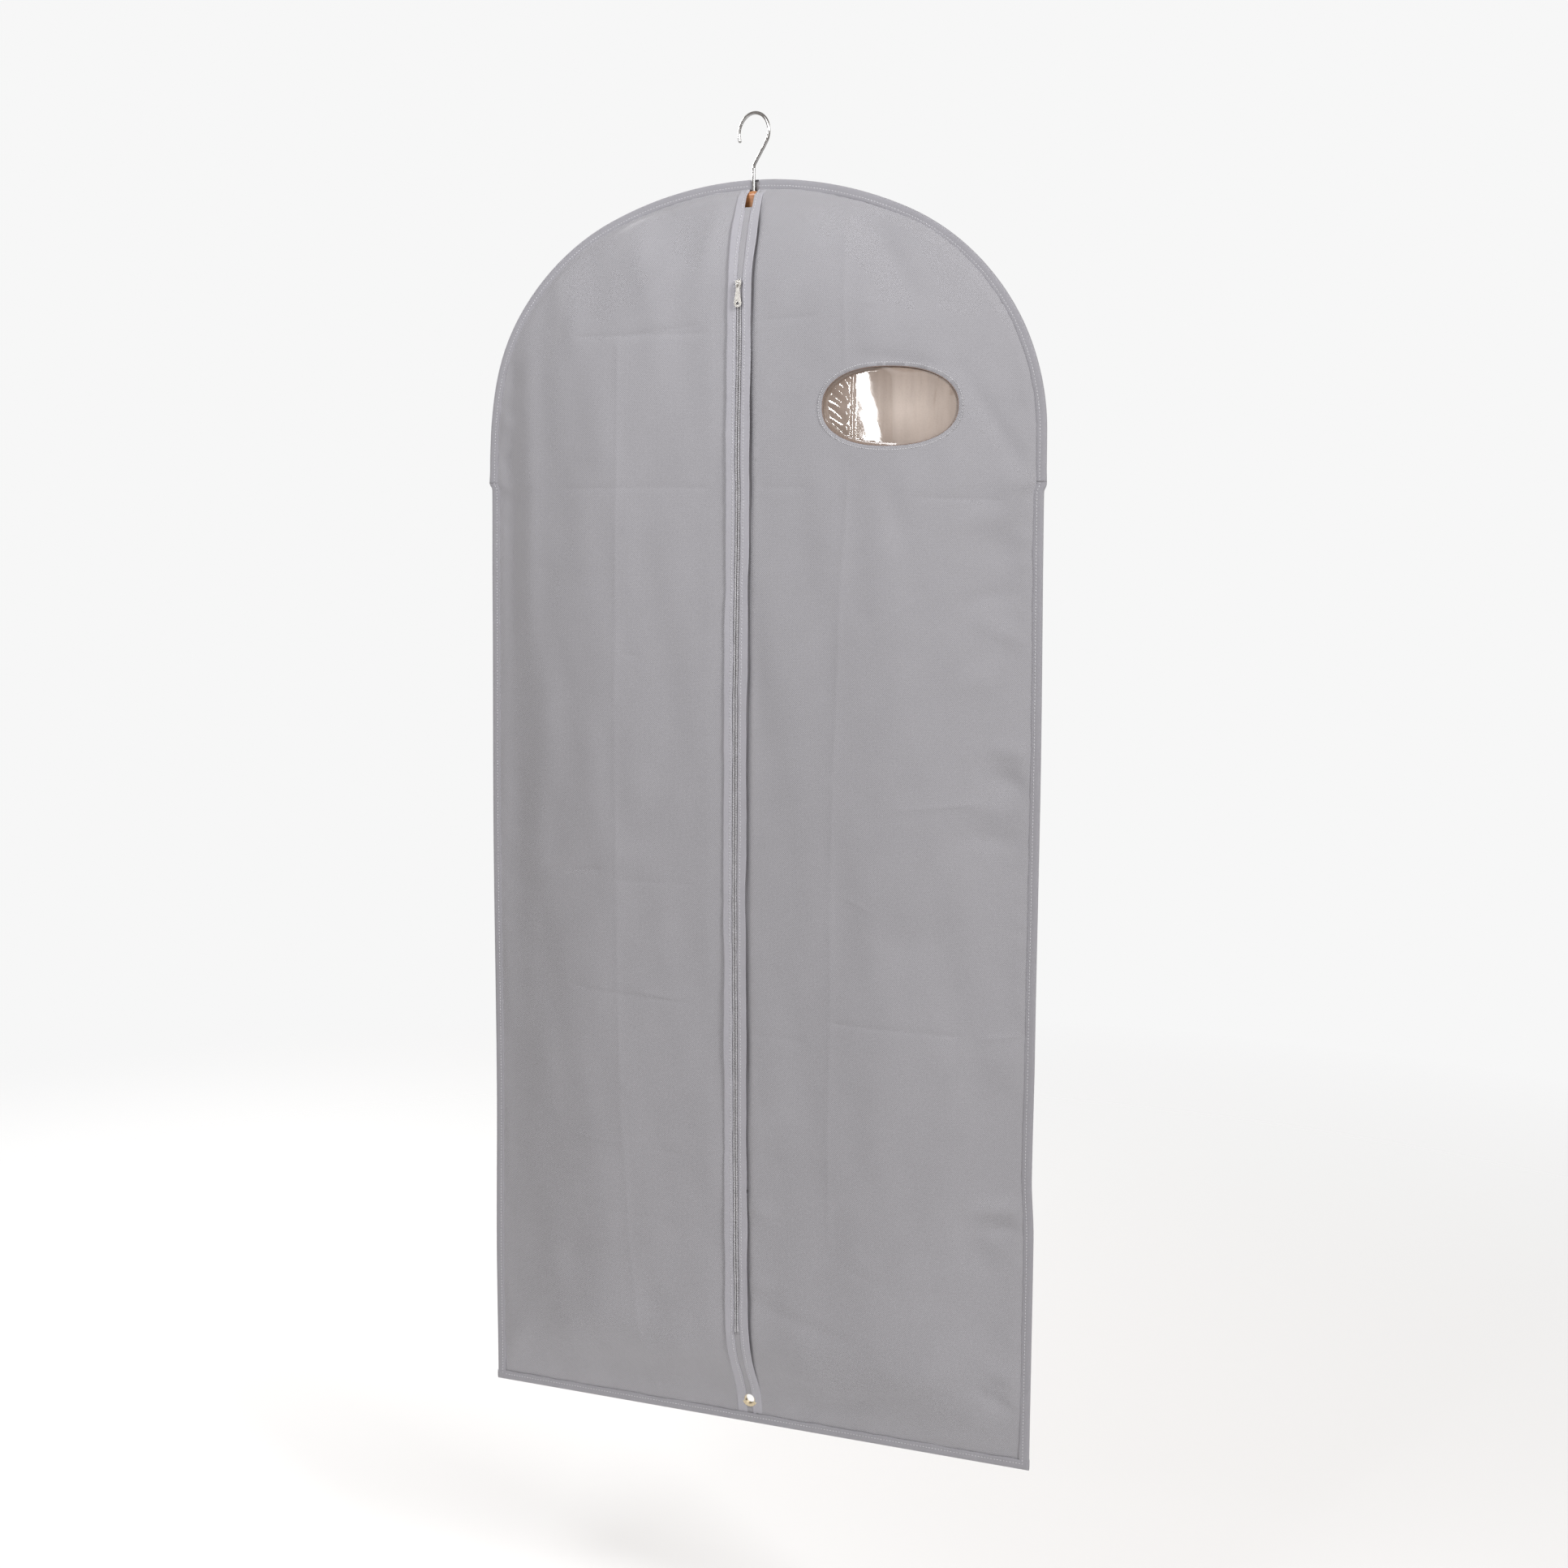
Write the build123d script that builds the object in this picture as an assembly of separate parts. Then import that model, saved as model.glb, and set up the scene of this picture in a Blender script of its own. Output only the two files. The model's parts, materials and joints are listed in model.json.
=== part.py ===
from build123d import *
import os
from math import atan2, copysign, cos, pi, sin, tan

os.makedirs("parts", exist_ok=True)

# The bag hangs from a rail. The origin is where the hook's inner crown rests on the rail.
# +X is the wearer's right of the bag as seen from the front, the front faces -Y, and +Z is up.

# Overall sizes, mm
bag_width = 630.0
bag_height = 1350.0
bag_top = 66.5          # the bag's top seam, below the rail contact
front_bulge = 42.0      # how far the front stands off the seam plane
back_bulge = 30.0
seam_y = 2.6            # the seam runs just behind the hook's stem

# Arched top: one crown arc on the axis and a shoulder arc at each side, all tangent
crown_ratio = 1.286     # crown radius over half the width
drop_ratio = 0.841      # where the sides turn vertical, below the top, over half the width

# Cloth layers
cloth = 1.0
facing_thick = 1.0
tape_thick = 0.6
film_thick = 0.3
thread_thick = 0.3
thread_width = 0.8
cut_gap = 0.2           # between cloth edges that are sewn side by side

# Binding round the edge
binding_width = 10.5
binding_thick = 1.0
binding_joint_drop = 315.0
binding_thread_inset = 6.2
stem_gap = 5.0

# How the cloth rises from the seam: side, top, bottom inset and share of the bulge
rise_steps = [
    (binding_width + 0.5, binding_width + 0.3, 38.5, 0.0, 0.0),
    (45.0, binding_width + 3.3, 50.0, 10.0, 5.0),
    (95.0, 52.0, 78.0, 0.67 * front_bulge, 0.63 * back_bulge),
    (150.0, 100.0, 112.0, front_bulge, back_bulge),
]

# Zip down the middle of the front
facing_gap = 6.2
facing_left_width = 10.6
facing_right_width = 9.4
facing_thread_inset = 2.4
panel_split = 15.0      # the front panels stop this far apart, under the facings
slot_width = 9.2        # the hanger slot above the zip
slot_end = 31.0
zip_start = 106.0
zip_end = bag_height - 118.0
zip_tape_reach = 14.0
coil_slot = 1.4
coil_outer = 2.3
coil_thick = 1.8

# Slider and pull tab
slide_clear = 0.3
slider_width = 6.8
slider_length = 9.0
slider_plate = 1.1
slider_back_plate = 0.9
slider_start = zip_start + 2.5
post_width = coil_slot - 2 * slide_clear
post_length = 3.0
bridge_inner = 1.0
bridge_outer = 2.0
bridge_width = 1.5
bridge_drop = 4.5
pull_length = 23.5
pull_thick = 1.2
pull_width = 8.0
pull_top_width = 4.4
pull_hole = 3.2
pull_eye_clear = 0.35

# Oval window in the right panel
window_x = 162.5
window_drop = 239.5
window_width = 139.6
window_height = 79.8
window_power = 2.3
window_lap = 6.0
window_thread_gap = 3.6

# Carrying eyelet near the bottom edge
eyelet_rise = 27.0
eyelet_outer = 17.6
eyelet_bore = 10.6
eyelet_wall = 0.6
eyelet_flange = 0.9
washer_outer = 16.6
washer_thick = 0.7
eyelet_clear = 0.1

# Hanger: a flat wooden body and a steel hook that turns in it
wire = 3.5
loop_outer = 43.8
neck_lean = 36.7        # the wire leaves the loop at this angle and runs straight to the stem
neck_bend = 9.0
hook_turn = 18.0        # the hook stands turned from the bag's plane
tip_angle = 200.0
bore_clear = 0.25
bore_depth = 30.0
hanger_thick = 10.0
hanger_round = 4.5
hanger_top = binding_width + 1.3
hanger_reach = 212.0
hanger_drop = 93.0
hanger_depth = 33.0

half = bag_width / 2
z_top = -bag_top
z_bottom = z_top - bag_height
crown_r = crown_ratio * half
shoulder_drop = drop_ratio * half
shoulder_r = (crown_r**2 - half**2 - (crown_r - shoulder_drop) ** 2) / (2 * (crown_r - half))
face_y = seam_y - front_bulge


def at(y):
    """The plane that is parallel to the bag at y; its normal points to the front."""
    return Plane.XZ.offset(-y)


def outline(side, top, bottom):
    """The bag's outline drawn in from its side, top and bottom edges."""
    w = half - side
    r1 = crown_r - side
    r2 = shoulder_r - side
    crown_z = z_top - crown_r + side - top
    shoulder_z = z_top - shoulder_drop + side - top
    shoulder_x = half - shoulder_r
    turn = atan2(crown_r - shoulder_drop, shoulder_x)
    tx = r1 * cos(turn)
    tz = crown_z + r1 * sin(turn)
    mx = shoulder_x + r2 * cos(turn / 2)
    mz = shoulder_z + r2 * sin(turn / 2)
    low = z_bottom + bottom
    edges = [
        Line((-w, low), (w, low)),
        Line((w, low), (w, shoulder_z)),
        ThreePointArc((w, shoulder_z), (mx, mz), (tx, tz)),
        ThreePointArc((tx, tz), (0, crown_z + r1), (-tx, tz)),
        ThreePointArc((-tx, tz), (-mx, mz), (-w, shoulder_z)),
        Line((-w, shoulder_z), (-w, low)),
    ]
    return make_face(edges)


def even(inset):
    return outline(inset, inset, inset)


def slab(face, y_from, y_to):
    """A flat sketch made solid between two depths."""
    low, high = min(y_from, y_to), max(y_from, y_to)
    return extrude(at(high) * face, amount=high - low)


def block(x0, x1, y0, y1, z0, z1):
    size = (abs(x1 - x0), abs(y1 - y0), abs(z1 - z0))
    return Pos((x0 + x1) / 2, (y0 + y1) / 2, (z0 + z1) / 2) * Box(*size)


def below(drop):
    """The height that is this far below the bag's top."""
    return z_top - drop


def bulk(front, shift):
    """Everything between the seam plane and a cloth surface, shift outside the lining."""
    sign = -1 if front else 1
    rings = []
    for side, top, bottom, rise_front, rise_back in rise_steps:
        rise = rise_front if front else rise_back
        rings.append(at(seam_y + sign * (rise + shift)) * outline(side, top, bottom))
    dome = loft(rings, ruled=True)
    if shift > 0:
        dome = dome + slab(even(binding_thick + cut_gap), seam_y, seam_y + sign * shift)
    return dome


def superellipse(a, b):
    points = []
    for i in range(32):
        angle = 2 * pi * i / 32
        c, s = cos(angle), sin(angle)
        x = copysign(abs(c) ** (2 / window_power), c)
        z = copysign(abs(s) ** (2 / window_power), s)
        points.append((window_x + a * x, below(window_drop) + b * z))
    return make_face(Spline(points, periodic=True))


def window_face(grow):
    return superellipse(window_width / 2 + grow, window_height / 2 + grow)


def disc(radius):
    return Pos(0, z_bottom + eyelet_rise) * Circle(radius)


def save(name, shape):
    solids = shape.solids()
    assert len(solids) == 1, f"{name} has {len(solids)} solids"
    solids[0].label = name
    export_step(solids[0], f"parts/{name}.step")


# Cloth layers of the front and the back
far = 2 * front_bulge + 50
eyelet_hole = slab(disc(eyelet_bore / 2 + eyelet_wall + eyelet_clear), -far, far)
front_0 = bulk(True, 0)
front_1 = bulk(True, cloth)
front_2 = bulk(True, cloth + facing_thick)
front_3 = bulk(True, cloth + facing_thick + thread_thick)
front_cloth = front_1 - front_0 - eyelet_hole
back_cloth = bulk(False, cloth) - bulk(False, 0) - eyelet_hole

split = panel_split / 2
wide = bag_width
tall_top = z_top + 10
tall_low = z_bottom - 10
window_cut = slab(window_face(0), face_y - 20, face_y + 20)
save("back_panel", back_cloth)
save("front_panel_left", front_cloth & block(-wide, -split, -far, far, tall_low, tall_top))
right_panel = front_cloth & block(split, wide, -far, far, tall_low, tall_top)
save("front_panel_right", right_panel - window_cut)
film_area = slab(window_face(window_lap), face_y - 20, face_y + 20)
save("window_film", (front_0 - bulk(True, -film_thick)) & film_area)
ring = slab(window_face(window_thread_gap + thread_width), face_y - 20, face_y + 20)
ring = ring - slab(window_face(window_thread_gap), face_y - 20, face_y + 20)
save("window_thread", (bulk(True, cloth + thread_thick) - front_1) & ring)

# Cloth between the facings, above and below the zip
placket = front_cloth & block(-split + cut_gap, split - cut_gap, -far, far, below(zip_start), below(slot_end))
save("placket_top", placket)
low_edge = z_bottom + binding_thick + cut_gap
placket = front_cloth & block(-split + cut_gap, split - cut_gap, -far, far, low_edge, below(zip_end))
save("placket_bottom", placket)

# Facings over the panels' inner edges, and their thread
facing_top = below(binding_width + 0.4)
facing_low = z_bottom + binding_width + cut_gap
facing_layer = front_2 - front_1 - eyelet_hole
eyelet_zone = slab(disc(eyelet_outer / 2 + 1.0), -far, far)
thread_layer = front_3 - front_2 - eyelet_zone
slot_cut = block(-slot_width / 2, slot_width / 2, -far, far, below(slot_end), tall_top)
for name, sign, width in (("left", -1, facing_left_width), ("right", 1, facing_right_width)):
    near = sign * facing_gap / 2
    outer = near + sign * width
    x0, x1 = min(near, outer), max(near, outer)
    facing = facing_layer & block(x0, x1, -far, far, facing_low, facing_top)
    save(f"zip_facing_{name}", facing - slot_cut)
    mid = near + sign * (facing_thread_inset + thread_width / 2)
    seam_low = z_bottom + eyelet_rise + eyelet_outer / 2 + 2
    seam = block(mid - thread_width / 2, mid + thread_width / 2, -far, far, seam_low, facing_top - 1)
    save(f"facing_thread_{name}", thread_layer & seam)

# Zip tapes and coils
for name, sign in (("left", -1), ("right", 1)):
    inner = sign * coil_slot / 2
    tape = block(inner, sign * zip_tape_reach, face_y, face_y + tape_thick, below(zip_end + 2), below(zip_start - 2))
    save(f"zip_tape_{name}", tape)
    coil = block(inner, sign * coil_outer, face_y, face_y - coil_thick, below(zip_end - 1), below(zip_start + 1))
    save(f"zip_coil_{name}", coil)

# Binding: a U round the edge, with a gap in front for the hook's stem
over = cloth + binding_thick
binding = slab(even(0), seam_y - over, seam_y + over)
binding = binding - slab(even(binding_thick), seam_y - cloth, seam_y + cloth)
binding = binding - slab(even(binding_width), seam_y - over - 1, seam_y + over + 1)
stem_cut = block(
    -stem_gap / 2, stem_gap / 2, seam_y - over - 2, seam_y - slide_clear, below(binding_width + 1), tall_top
)
joint = below(binding_joint_drop)
foot = z_bottom + binding_width
save("binding_top", (binding & block(-wide, wide, -far, far, joint, tall_top)) - stem_cut)
save("binding_side_left", binding & block(-wide, 0, -far, far, foot, joint))
save("binding_side_right", binding & block(0, wide, -far, far, foot, joint))
save("binding_bottom", binding & block(-wide, wide, -far, far, tall_low, foot))
for name, sign in (("front", -1), ("back", 1)):
    y0 = seam_y + sign * over
    y1 = y0 + sign * thread_thick
    outer = slab(even(binding_thread_inset), y0, y1)
    hole = slab(even(binding_thread_inset + thread_width), y0 - sign, y1 + sign)
    line = outer - hole
    if name == "front":
        line = line - stem_cut
    save(f"binding_thread_{name}", line)

# Slider: two plates joined by a post that runs between the coils
lift = cloth + facing_thick
plate_in = face_y - lift - slide_clear
plate_out = plate_in - slider_plate
back_in = face_y + tape_thick + slide_clear
back_out = back_in + slider_back_plate
s_top = below(slider_start)
s_low = s_top - slider_length


def plate(y_in, y_out, narrow):
    """A slider plate that narrows to its lower end."""
    low = slider_width / 2 - narrow
    top = slider_width / 2
    corners = [(-low, s_low), (low, s_low), (top, s_top), (-top, s_top)]
    shape = slab(make_face(Polyline(*corners, close=True)), y_in, y_out)
    return fillet(shape.edges().filter_by(Axis.Y), 1.2)


post = block(
    -post_width / 2, post_width / 2, plate_in, back_in, s_top - 1 - post_length, s_top - 1
)
save("slider_body", plate(plate_in, plate_out, 0.9) + plate(back_in, back_out, 0.9) + post)

hinge_y = plate_out - bridge_inner
hinge_z = s_top - bridge_drop
ring = Rot(0, 90, 0) * (Cylinder(bridge_outer, bridge_width) - Cylinder(bridge_inner, bridge_width + 1))
ring = Pos(0, hinge_y, hinge_z) * ring
ring = ring & block(-5, 5, hinge_y - 5, hinge_y, hinge_z - 5, hinge_z + 5)
legs = block(-bridge_width / 2, bridge_width / 2, hinge_y, plate_out, hinge_z - bridge_outer, hinge_z + bridge_outer)
legs = legs - block(-2, 2, hinge_y - 1, plate_out + 1, hinge_z - bridge_inner, hinge_z + bridge_inner)
save("slider_bridge", ring + legs)

# Pull tab: its crossbar sits under the bridge and the bridge goes through its eye
bar_r = pull_thick / 2
tab_r = pull_width / 2
tab_low = hinge_z - pull_length + tab_r
neck_w = pull_top_width / 2
corners = [
    (-neck_w, hinge_z), (neck_w, hinge_z), (neck_w, hinge_z - 6), (tab_r, tab_low), (-tab_r, tab_low),
    (-neck_w, hinge_z - 6),
]
tab = slab(make_face(Polyline(*corners, close=True)), hinge_y - bar_r, hinge_y + bar_r)
tab = tab + slab(Pos(0, tab_low) * Circle(tab_r), hinge_y - bar_r, hinge_y + bar_r)
tab = tab + Pos(0, hinge_y, hinge_z) * (Rot(0, 90, 0) * Cylinder(bar_r, pull_top_width))
eye_half = bridge_width / 2 + pull_eye_clear
eye_low = hinge_z - bridge_outer - 1.6
tab = tab - block(-eye_half, eye_half, hinge_y - 2, hinge_y + 2, eye_low, hinge_z - bar_r)
tab = tab - slab(Pos(0, tab_low) * Circle(pull_hole / 2), hinge_y - 2, hinge_y + 2)
save("pull_tab", tab)

# Eyelet: a flanged barrel through every layer, closed over a washer at the back
front_face = seam_y - cloth - facing_thick
back_face = seam_y + cloth
barrel_r = eyelet_bore / 2 + eyelet_wall
barrel_end = back_face + washer_thick + eyelet_wall
flange = slab(disc(eyelet_outer / 2), front_face, front_face - eyelet_flange)
flange = fillet(flange.faces().sort_by(Axis.Y)[0].edges(), 0.6)
barrel = slab(disc(barrel_r), front_face, barrel_end)
curl = slab(disc(barrel_r + 1.0), back_face + washer_thick, barrel_end)
bore = slab(disc(eyelet_bore / 2), front_face - 5, barrel_end + 5)
save("eyelet", flange + barrel + curl - bore)
washer = slab(disc(washer_outer / 2), back_face, back_face + washer_thick)
save("eyelet_washer", washer - slab(disc(barrel_r + eyelet_clear), back_face - 1, back_face + washer_thick + 1))

# Wooden hanger body
top_z = below(hanger_top)
upper = [
    (0, top_z), (14, top_z - 4.6), (0.2 * hanger_reach, top_z - 14), (0.62 * hanger_reach, top_z - 46),
    (hanger_reach, top_z - hanger_drop + 13),
]
lower = [
    (hanger_reach - 5, top_z - hanger_drop - 6), (0.6 * hanger_reach, top_z - 46 - 0.85 * hanger_depth),
    (0.25 * hanger_reach, top_z - hanger_depth - 12), (0, top_z - hanger_depth),
]
mirror_upper = [(-x, z) for x, z in reversed(upper[1:])]
mirror_lower = [(-x, z) for x, z in reversed(lower[:-1])]
rim_right = (hanger_reach + 5, top_z - hanger_drop + 1)
rim_left = (-hanger_reach - 5, top_z - hanger_drop + 1)
wood_edges = [
    Spline(mirror_upper + upper),
    ThreePointArc(upper[-1], rim_right, lower[0]),
    Spline(lower + mirror_lower),
    ThreePointArc(mirror_lower[-1], rim_left, mirror_upper[0]),
]
wood = slab(make_face(wood_edges), -hanger_thick / 2, hanger_thick / 2)
rims = wood.faces().filter_by(Axis.Y).edges()
wood = fillet(rims, hanger_round)
stem_r = wire / 2
stem_low = top_z - bore_depth
bore = Pos(0, 0, stem_low - bore_clear) * Cylinder(
    stem_r + bore_clear, bore_depth + 10, align=(Align.CENTER, Align.CENTER, Align.MIN)
)
save("hanger_body", wood - bore)

# Hook: straight stem, a bend to the side, and a round loop over the rail
loop_r = (loop_outer - wire) / 2
loop_z = -(loop_r - stem_r)
lean = neck_lean * pi / 180


def on_loop(angle):
    return (loop_r * cos(angle), loop_z + loop_r * sin(angle))


leave_x, leave_z = on_loop(-lean)
bend_run = neck_bend * tan(lean / 2)
bend_low = leave_z - leave_x / tan(lean) - bend_run
bend_mid = (neck_bend - neck_bend * cos(lean / 2), bend_low + neck_bend * sin(lean / 2))
bend_end = (neck_bend - neck_bend * cos(lean), bend_low + neck_bend * sin(lean))
tip = tip_angle * pi / 180


def point(pair):
    return Vector(pair[0], 0, pair[1])


path = Wire([
    Edge.make_line(point((0, stem_low)), point((0, bend_low))),
    Edge.make_three_point_arc(point((0, bend_low)), point(bend_mid), point(bend_end)),
    Edge.make_line(point(bend_end), point((leave_x, leave_z))),
    Edge.make_three_point_arc(point((leave_x, leave_z)), point(on_loop(0.3)), point(on_loop(1.4))),
    Edge.make_three_point_arc(point(on_loop(1.4)), point(on_loop(2.4)), point(on_loop(tip))),
])
hook = sweep(Pos(0, 0, stem_low) * Circle(stem_r), path=path)
hook = hook + Pos(on_loop(tip)[0], 0, on_loop(tip)[1]) * Sphere(stem_r)
save("hanger_hook", Rot(0, 0, -hook_turn) * hook)
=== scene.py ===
import json
import math

import bpy
import numpy as np
from mathutils import Matrix, Vector
from mathutils.geometry import delaunay_2d_cdt


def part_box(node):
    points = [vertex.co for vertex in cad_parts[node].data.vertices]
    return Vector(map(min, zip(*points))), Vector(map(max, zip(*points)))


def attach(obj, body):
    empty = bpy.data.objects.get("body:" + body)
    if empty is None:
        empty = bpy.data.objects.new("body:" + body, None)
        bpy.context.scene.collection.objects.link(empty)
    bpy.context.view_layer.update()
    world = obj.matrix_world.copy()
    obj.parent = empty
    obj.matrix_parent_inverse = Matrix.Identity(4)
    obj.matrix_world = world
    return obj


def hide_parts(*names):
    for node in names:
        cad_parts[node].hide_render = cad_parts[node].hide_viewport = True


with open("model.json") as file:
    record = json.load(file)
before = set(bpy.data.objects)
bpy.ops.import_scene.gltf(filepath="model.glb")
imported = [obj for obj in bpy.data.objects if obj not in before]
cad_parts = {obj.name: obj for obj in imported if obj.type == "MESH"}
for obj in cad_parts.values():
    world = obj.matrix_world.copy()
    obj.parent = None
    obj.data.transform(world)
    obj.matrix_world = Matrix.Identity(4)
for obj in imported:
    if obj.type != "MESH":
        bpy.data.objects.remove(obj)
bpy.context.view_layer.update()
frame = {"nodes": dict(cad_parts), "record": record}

MM = 0.001


# ---------------------------------------------------------------- sizes, in mm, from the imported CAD
def box_mm(node):
    lo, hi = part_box(node)
    return np.array(lo) / MM, np.array(hi) / MM


top_lo, top_hi = box_mm("binding_top")
foot_lo, foot_hi = box_mm("binding_bottom")
TOP, BOTTOM, HALF = float(top_hi[2]), float(foot_lo[2]), float(top_hi[0])
JOINT = float(top_lo[2])
SEAM = float(foot_lo[1] + foot_hi[1]) / 2
FRONT = SEAM - float(box_mm("front_panel_left")[0][1])
BACK = float(box_mm("back_panel")[1][1]) - SEAM
CLOTH = 1.0              # the CAD cloth's thickness
CROWN_RATIO = 1.286      # the crown's radius and the shoulders' drop, as shares of the half width
DROP_RATIO = 0.841
CROWN = CROWN_RATIO * HALF
DROP = DROP_RATIO * HALF
SHOULDER = (CROWN**2 - HALF**2 - (CROWN - DROP) ** 2) / (2 * (CROWN - HALF))
BIND = 10.5              # the binding's width
zip_lo, zip_hi = box_mm("zip_coil_left")
ZIP_TOP, ZIP_LOW = float(zip_hi[2]), float(zip_lo[2])
SLOT_LOW = float(box_mm("placket_top")[1][2])
win_lo, win_hi = box_mm("window_film")
WIN_LAP = 6.0            # how far the film runs past the window's edge
PANE_DEPTH = 3.2
PANE_Y = SEAM - FRONT + CLOTH + PANE_DEPTH   # the film lies back, flat in its middle
WIN_X, WIN_Z = float(win_lo[0] + win_hi[0]) / 2, float(win_lo[2] + win_hi[2]) / 2
WIN_A, WIN_B = float(win_hi[0] - win_lo[0]) / 2 - WIN_LAP, float(win_hi[2] - win_lo[2]) / 2 - WIN_LAP
eye_lo, eye_hi = box_mm("eyelet")
EYE_Z = float(eye_lo[2] + eye_hi[2]) / 2
EYE_R = 6.1              # the hole in the cloth round the eyelet
joint = next(j for j in frame["record"]["behaviour"]["joints"] if j["name"] == "slider_travel")
TRAVEL = round(joint["range_m"][1] / MM, 3)

# what the visible cloth is made of
PANEL_THICK, STRIP_THICK, TAPE_THICK, BINDING_THICK, FILM_THICK = 0.6, 0.5, 0.5, 0.45, 0.2
BAG_LENGTH = 1.35        # the flat sizes of the panels, in m
BAG_WIDTH = 0.63

# rings of the swell: side, top and bottom inset, front and back rise
RINGS = [
    (BIND + 0.5, BIND + 0.3, 38.5, 0.0, 0.0),
    (45.0, BIND + 3.3, 50.0, 10.0, 5.0),
    (95.0, 52.0, 78.0, 0.67 * (FRONT - CLOTH), 0.63 * (BACK - CLOTH)),
    (150.0, 100.0, 112.0, FRONT - CLOTH, BACK - CLOTH),
]


def arch_inset(x, z):
    """How far a point is inside the arched outline, leaving out the straight bottom edge."""
    ax = np.abs(x)
    sx, sz, cz = HALF - SHOULDER, TOP - DROP, TOP - CROWN
    turn = math.atan2(CROWN - DROP, sx)
    angle = np.arctan2(z - sz, ax - sx)
    shoulder = SHOULDER - np.hypot(ax - sx, z - sz)
    crown = CROWN - np.hypot(x, z - cz)
    arch = np.where(angle < turn, shoulder, crown)
    return np.where(z > sz, arch, HALF - ax)


def inset(x, z):
    return np.minimum(arch_inset(x, z), z - BOTTOM)


def blur(a, cells):
    """A separable Gaussian blur that holds the border values."""
    n = int(3 * cells) + 1
    k = np.exp(-0.5 * (np.arange(-n, n + 1) / cells) ** 2)
    k /= k.sum()
    for axis in (0, 1):
        pad = [(n, n) if i == axis else (0, 0) for i in (0, 1)]
        p = np.pad(a, pad, mode="edge")
        out = np.zeros_like(a)
        for i, w in enumerate(k):
            s = [slice(None), slice(None)]
            s[axis] = slice(i, i + a.shape[axis])
            out += w * p[tuple(s)]
        a = out
    return a


GRID = 2.0
gx = np.arange(-HALF - 10, HALF + 10 + GRID, GRID)
gz = np.arange(BOTTOM - 10, TOP + 10 + GRID, GRID)
GX, GZ = np.meshgrid(gx, gz)


def swell_grid(column):
    """The swell's height over the seam plane on a grid, smoothed as cloth is."""
    level = np.zeros_like(GX)
    inside = []
    for side, top, bottom, *_ in RINGS:
        f = np.minimum(arch_inset(GX, GZ - (side - top)) - side, GZ - BOTTOM - bottom)
        inside.append(f)
    for a, b in zip(inside[:-1], inside[1:]):
        level += np.clip(a / np.maximum(a - b, 1e-6), 0, 1)
    rise = [r[column] for r in RINGS]
    h = np.interp(level, range(len(rise)), rise)
    soft = blur(h, 9.0)
    fine = blur(h, 1.5)
    near_top = np.clip((GZ - (TOP - 60)) / 30, 0, 1)
    h = fine * near_top + soft * (1 - near_top)
    edge = np.clip((inset(GX, GZ) - 4.0) / 14.0, 0, 1)
    return h * edge * edge * (3 - 2 * edge)


def sampled(grid):
    def at(x, z):
        fx = np.clip((np.asarray(x) - gx[0]) / GRID, 0, len(gx) - 1.001)
        fz = np.clip((np.asarray(z) - gz[0]) / GRID, 0, len(gz) - 1.001)
        i, j = fx.astype(int), fz.astype(int)
        u, v = fx - i, fz - j
        top = grid[j, i] * (1 - u) + grid[j, i + 1] * u
        low = grid[j + 1, i] * (1 - u) + grid[j + 1, i + 1] * u
        return top * (1 - v) + low * v
    return at


swell_front = sampled(swell_grid(3))
swell_back = sampled(swell_grid(4))


def run_along(points):
    """The distance along a line to each of its points."""
    return np.concatenate([[0], np.cumsum(np.hypot(*np.diff(points, axis=0).T))])


def turned(x, drop, centre, angle):
    """Places round a centre, turned by an angle."""
    cx, cd = centre
    u = (x - cx) * math.cos(angle) + (drop - cd) * math.sin(angle)
    v = -(x - cx) * math.sin(angle) + (drop - cd) * math.cos(angle)
    return u, v


def steps(value, points):
    """Smooth interpolation through (place, value) pairs; places rise."""
    xs = np.array([p[0] for p in points], float)
    ys = np.array([p[1] for p in points], float)
    value = np.asarray(value, float)
    i = np.clip(np.searchsorted(xs, value) - 1, 0, len(xs) - 2)
    t = np.clip((value - xs[i]) / (xs[i + 1] - xs[i]), 0, 1)
    t = t * t * (3 - 2 * t)
    return ys[i] * (1 - t) + ys[i + 1] * t


def wobble(value, seed, wave):
    """Seeded smooth noise along a line, about -1 to 1."""
    r = np.random.default_rng(seed)
    total = np.zeros_like(np.asarray(value, float))
    for k in range(5):
        total += np.sin(np.asarray(value) * 2 * math.pi / (wave * (0.6 + 0.35 * k)) + r.uniform(0, 6.3)) / 2.2
    return total


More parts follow.
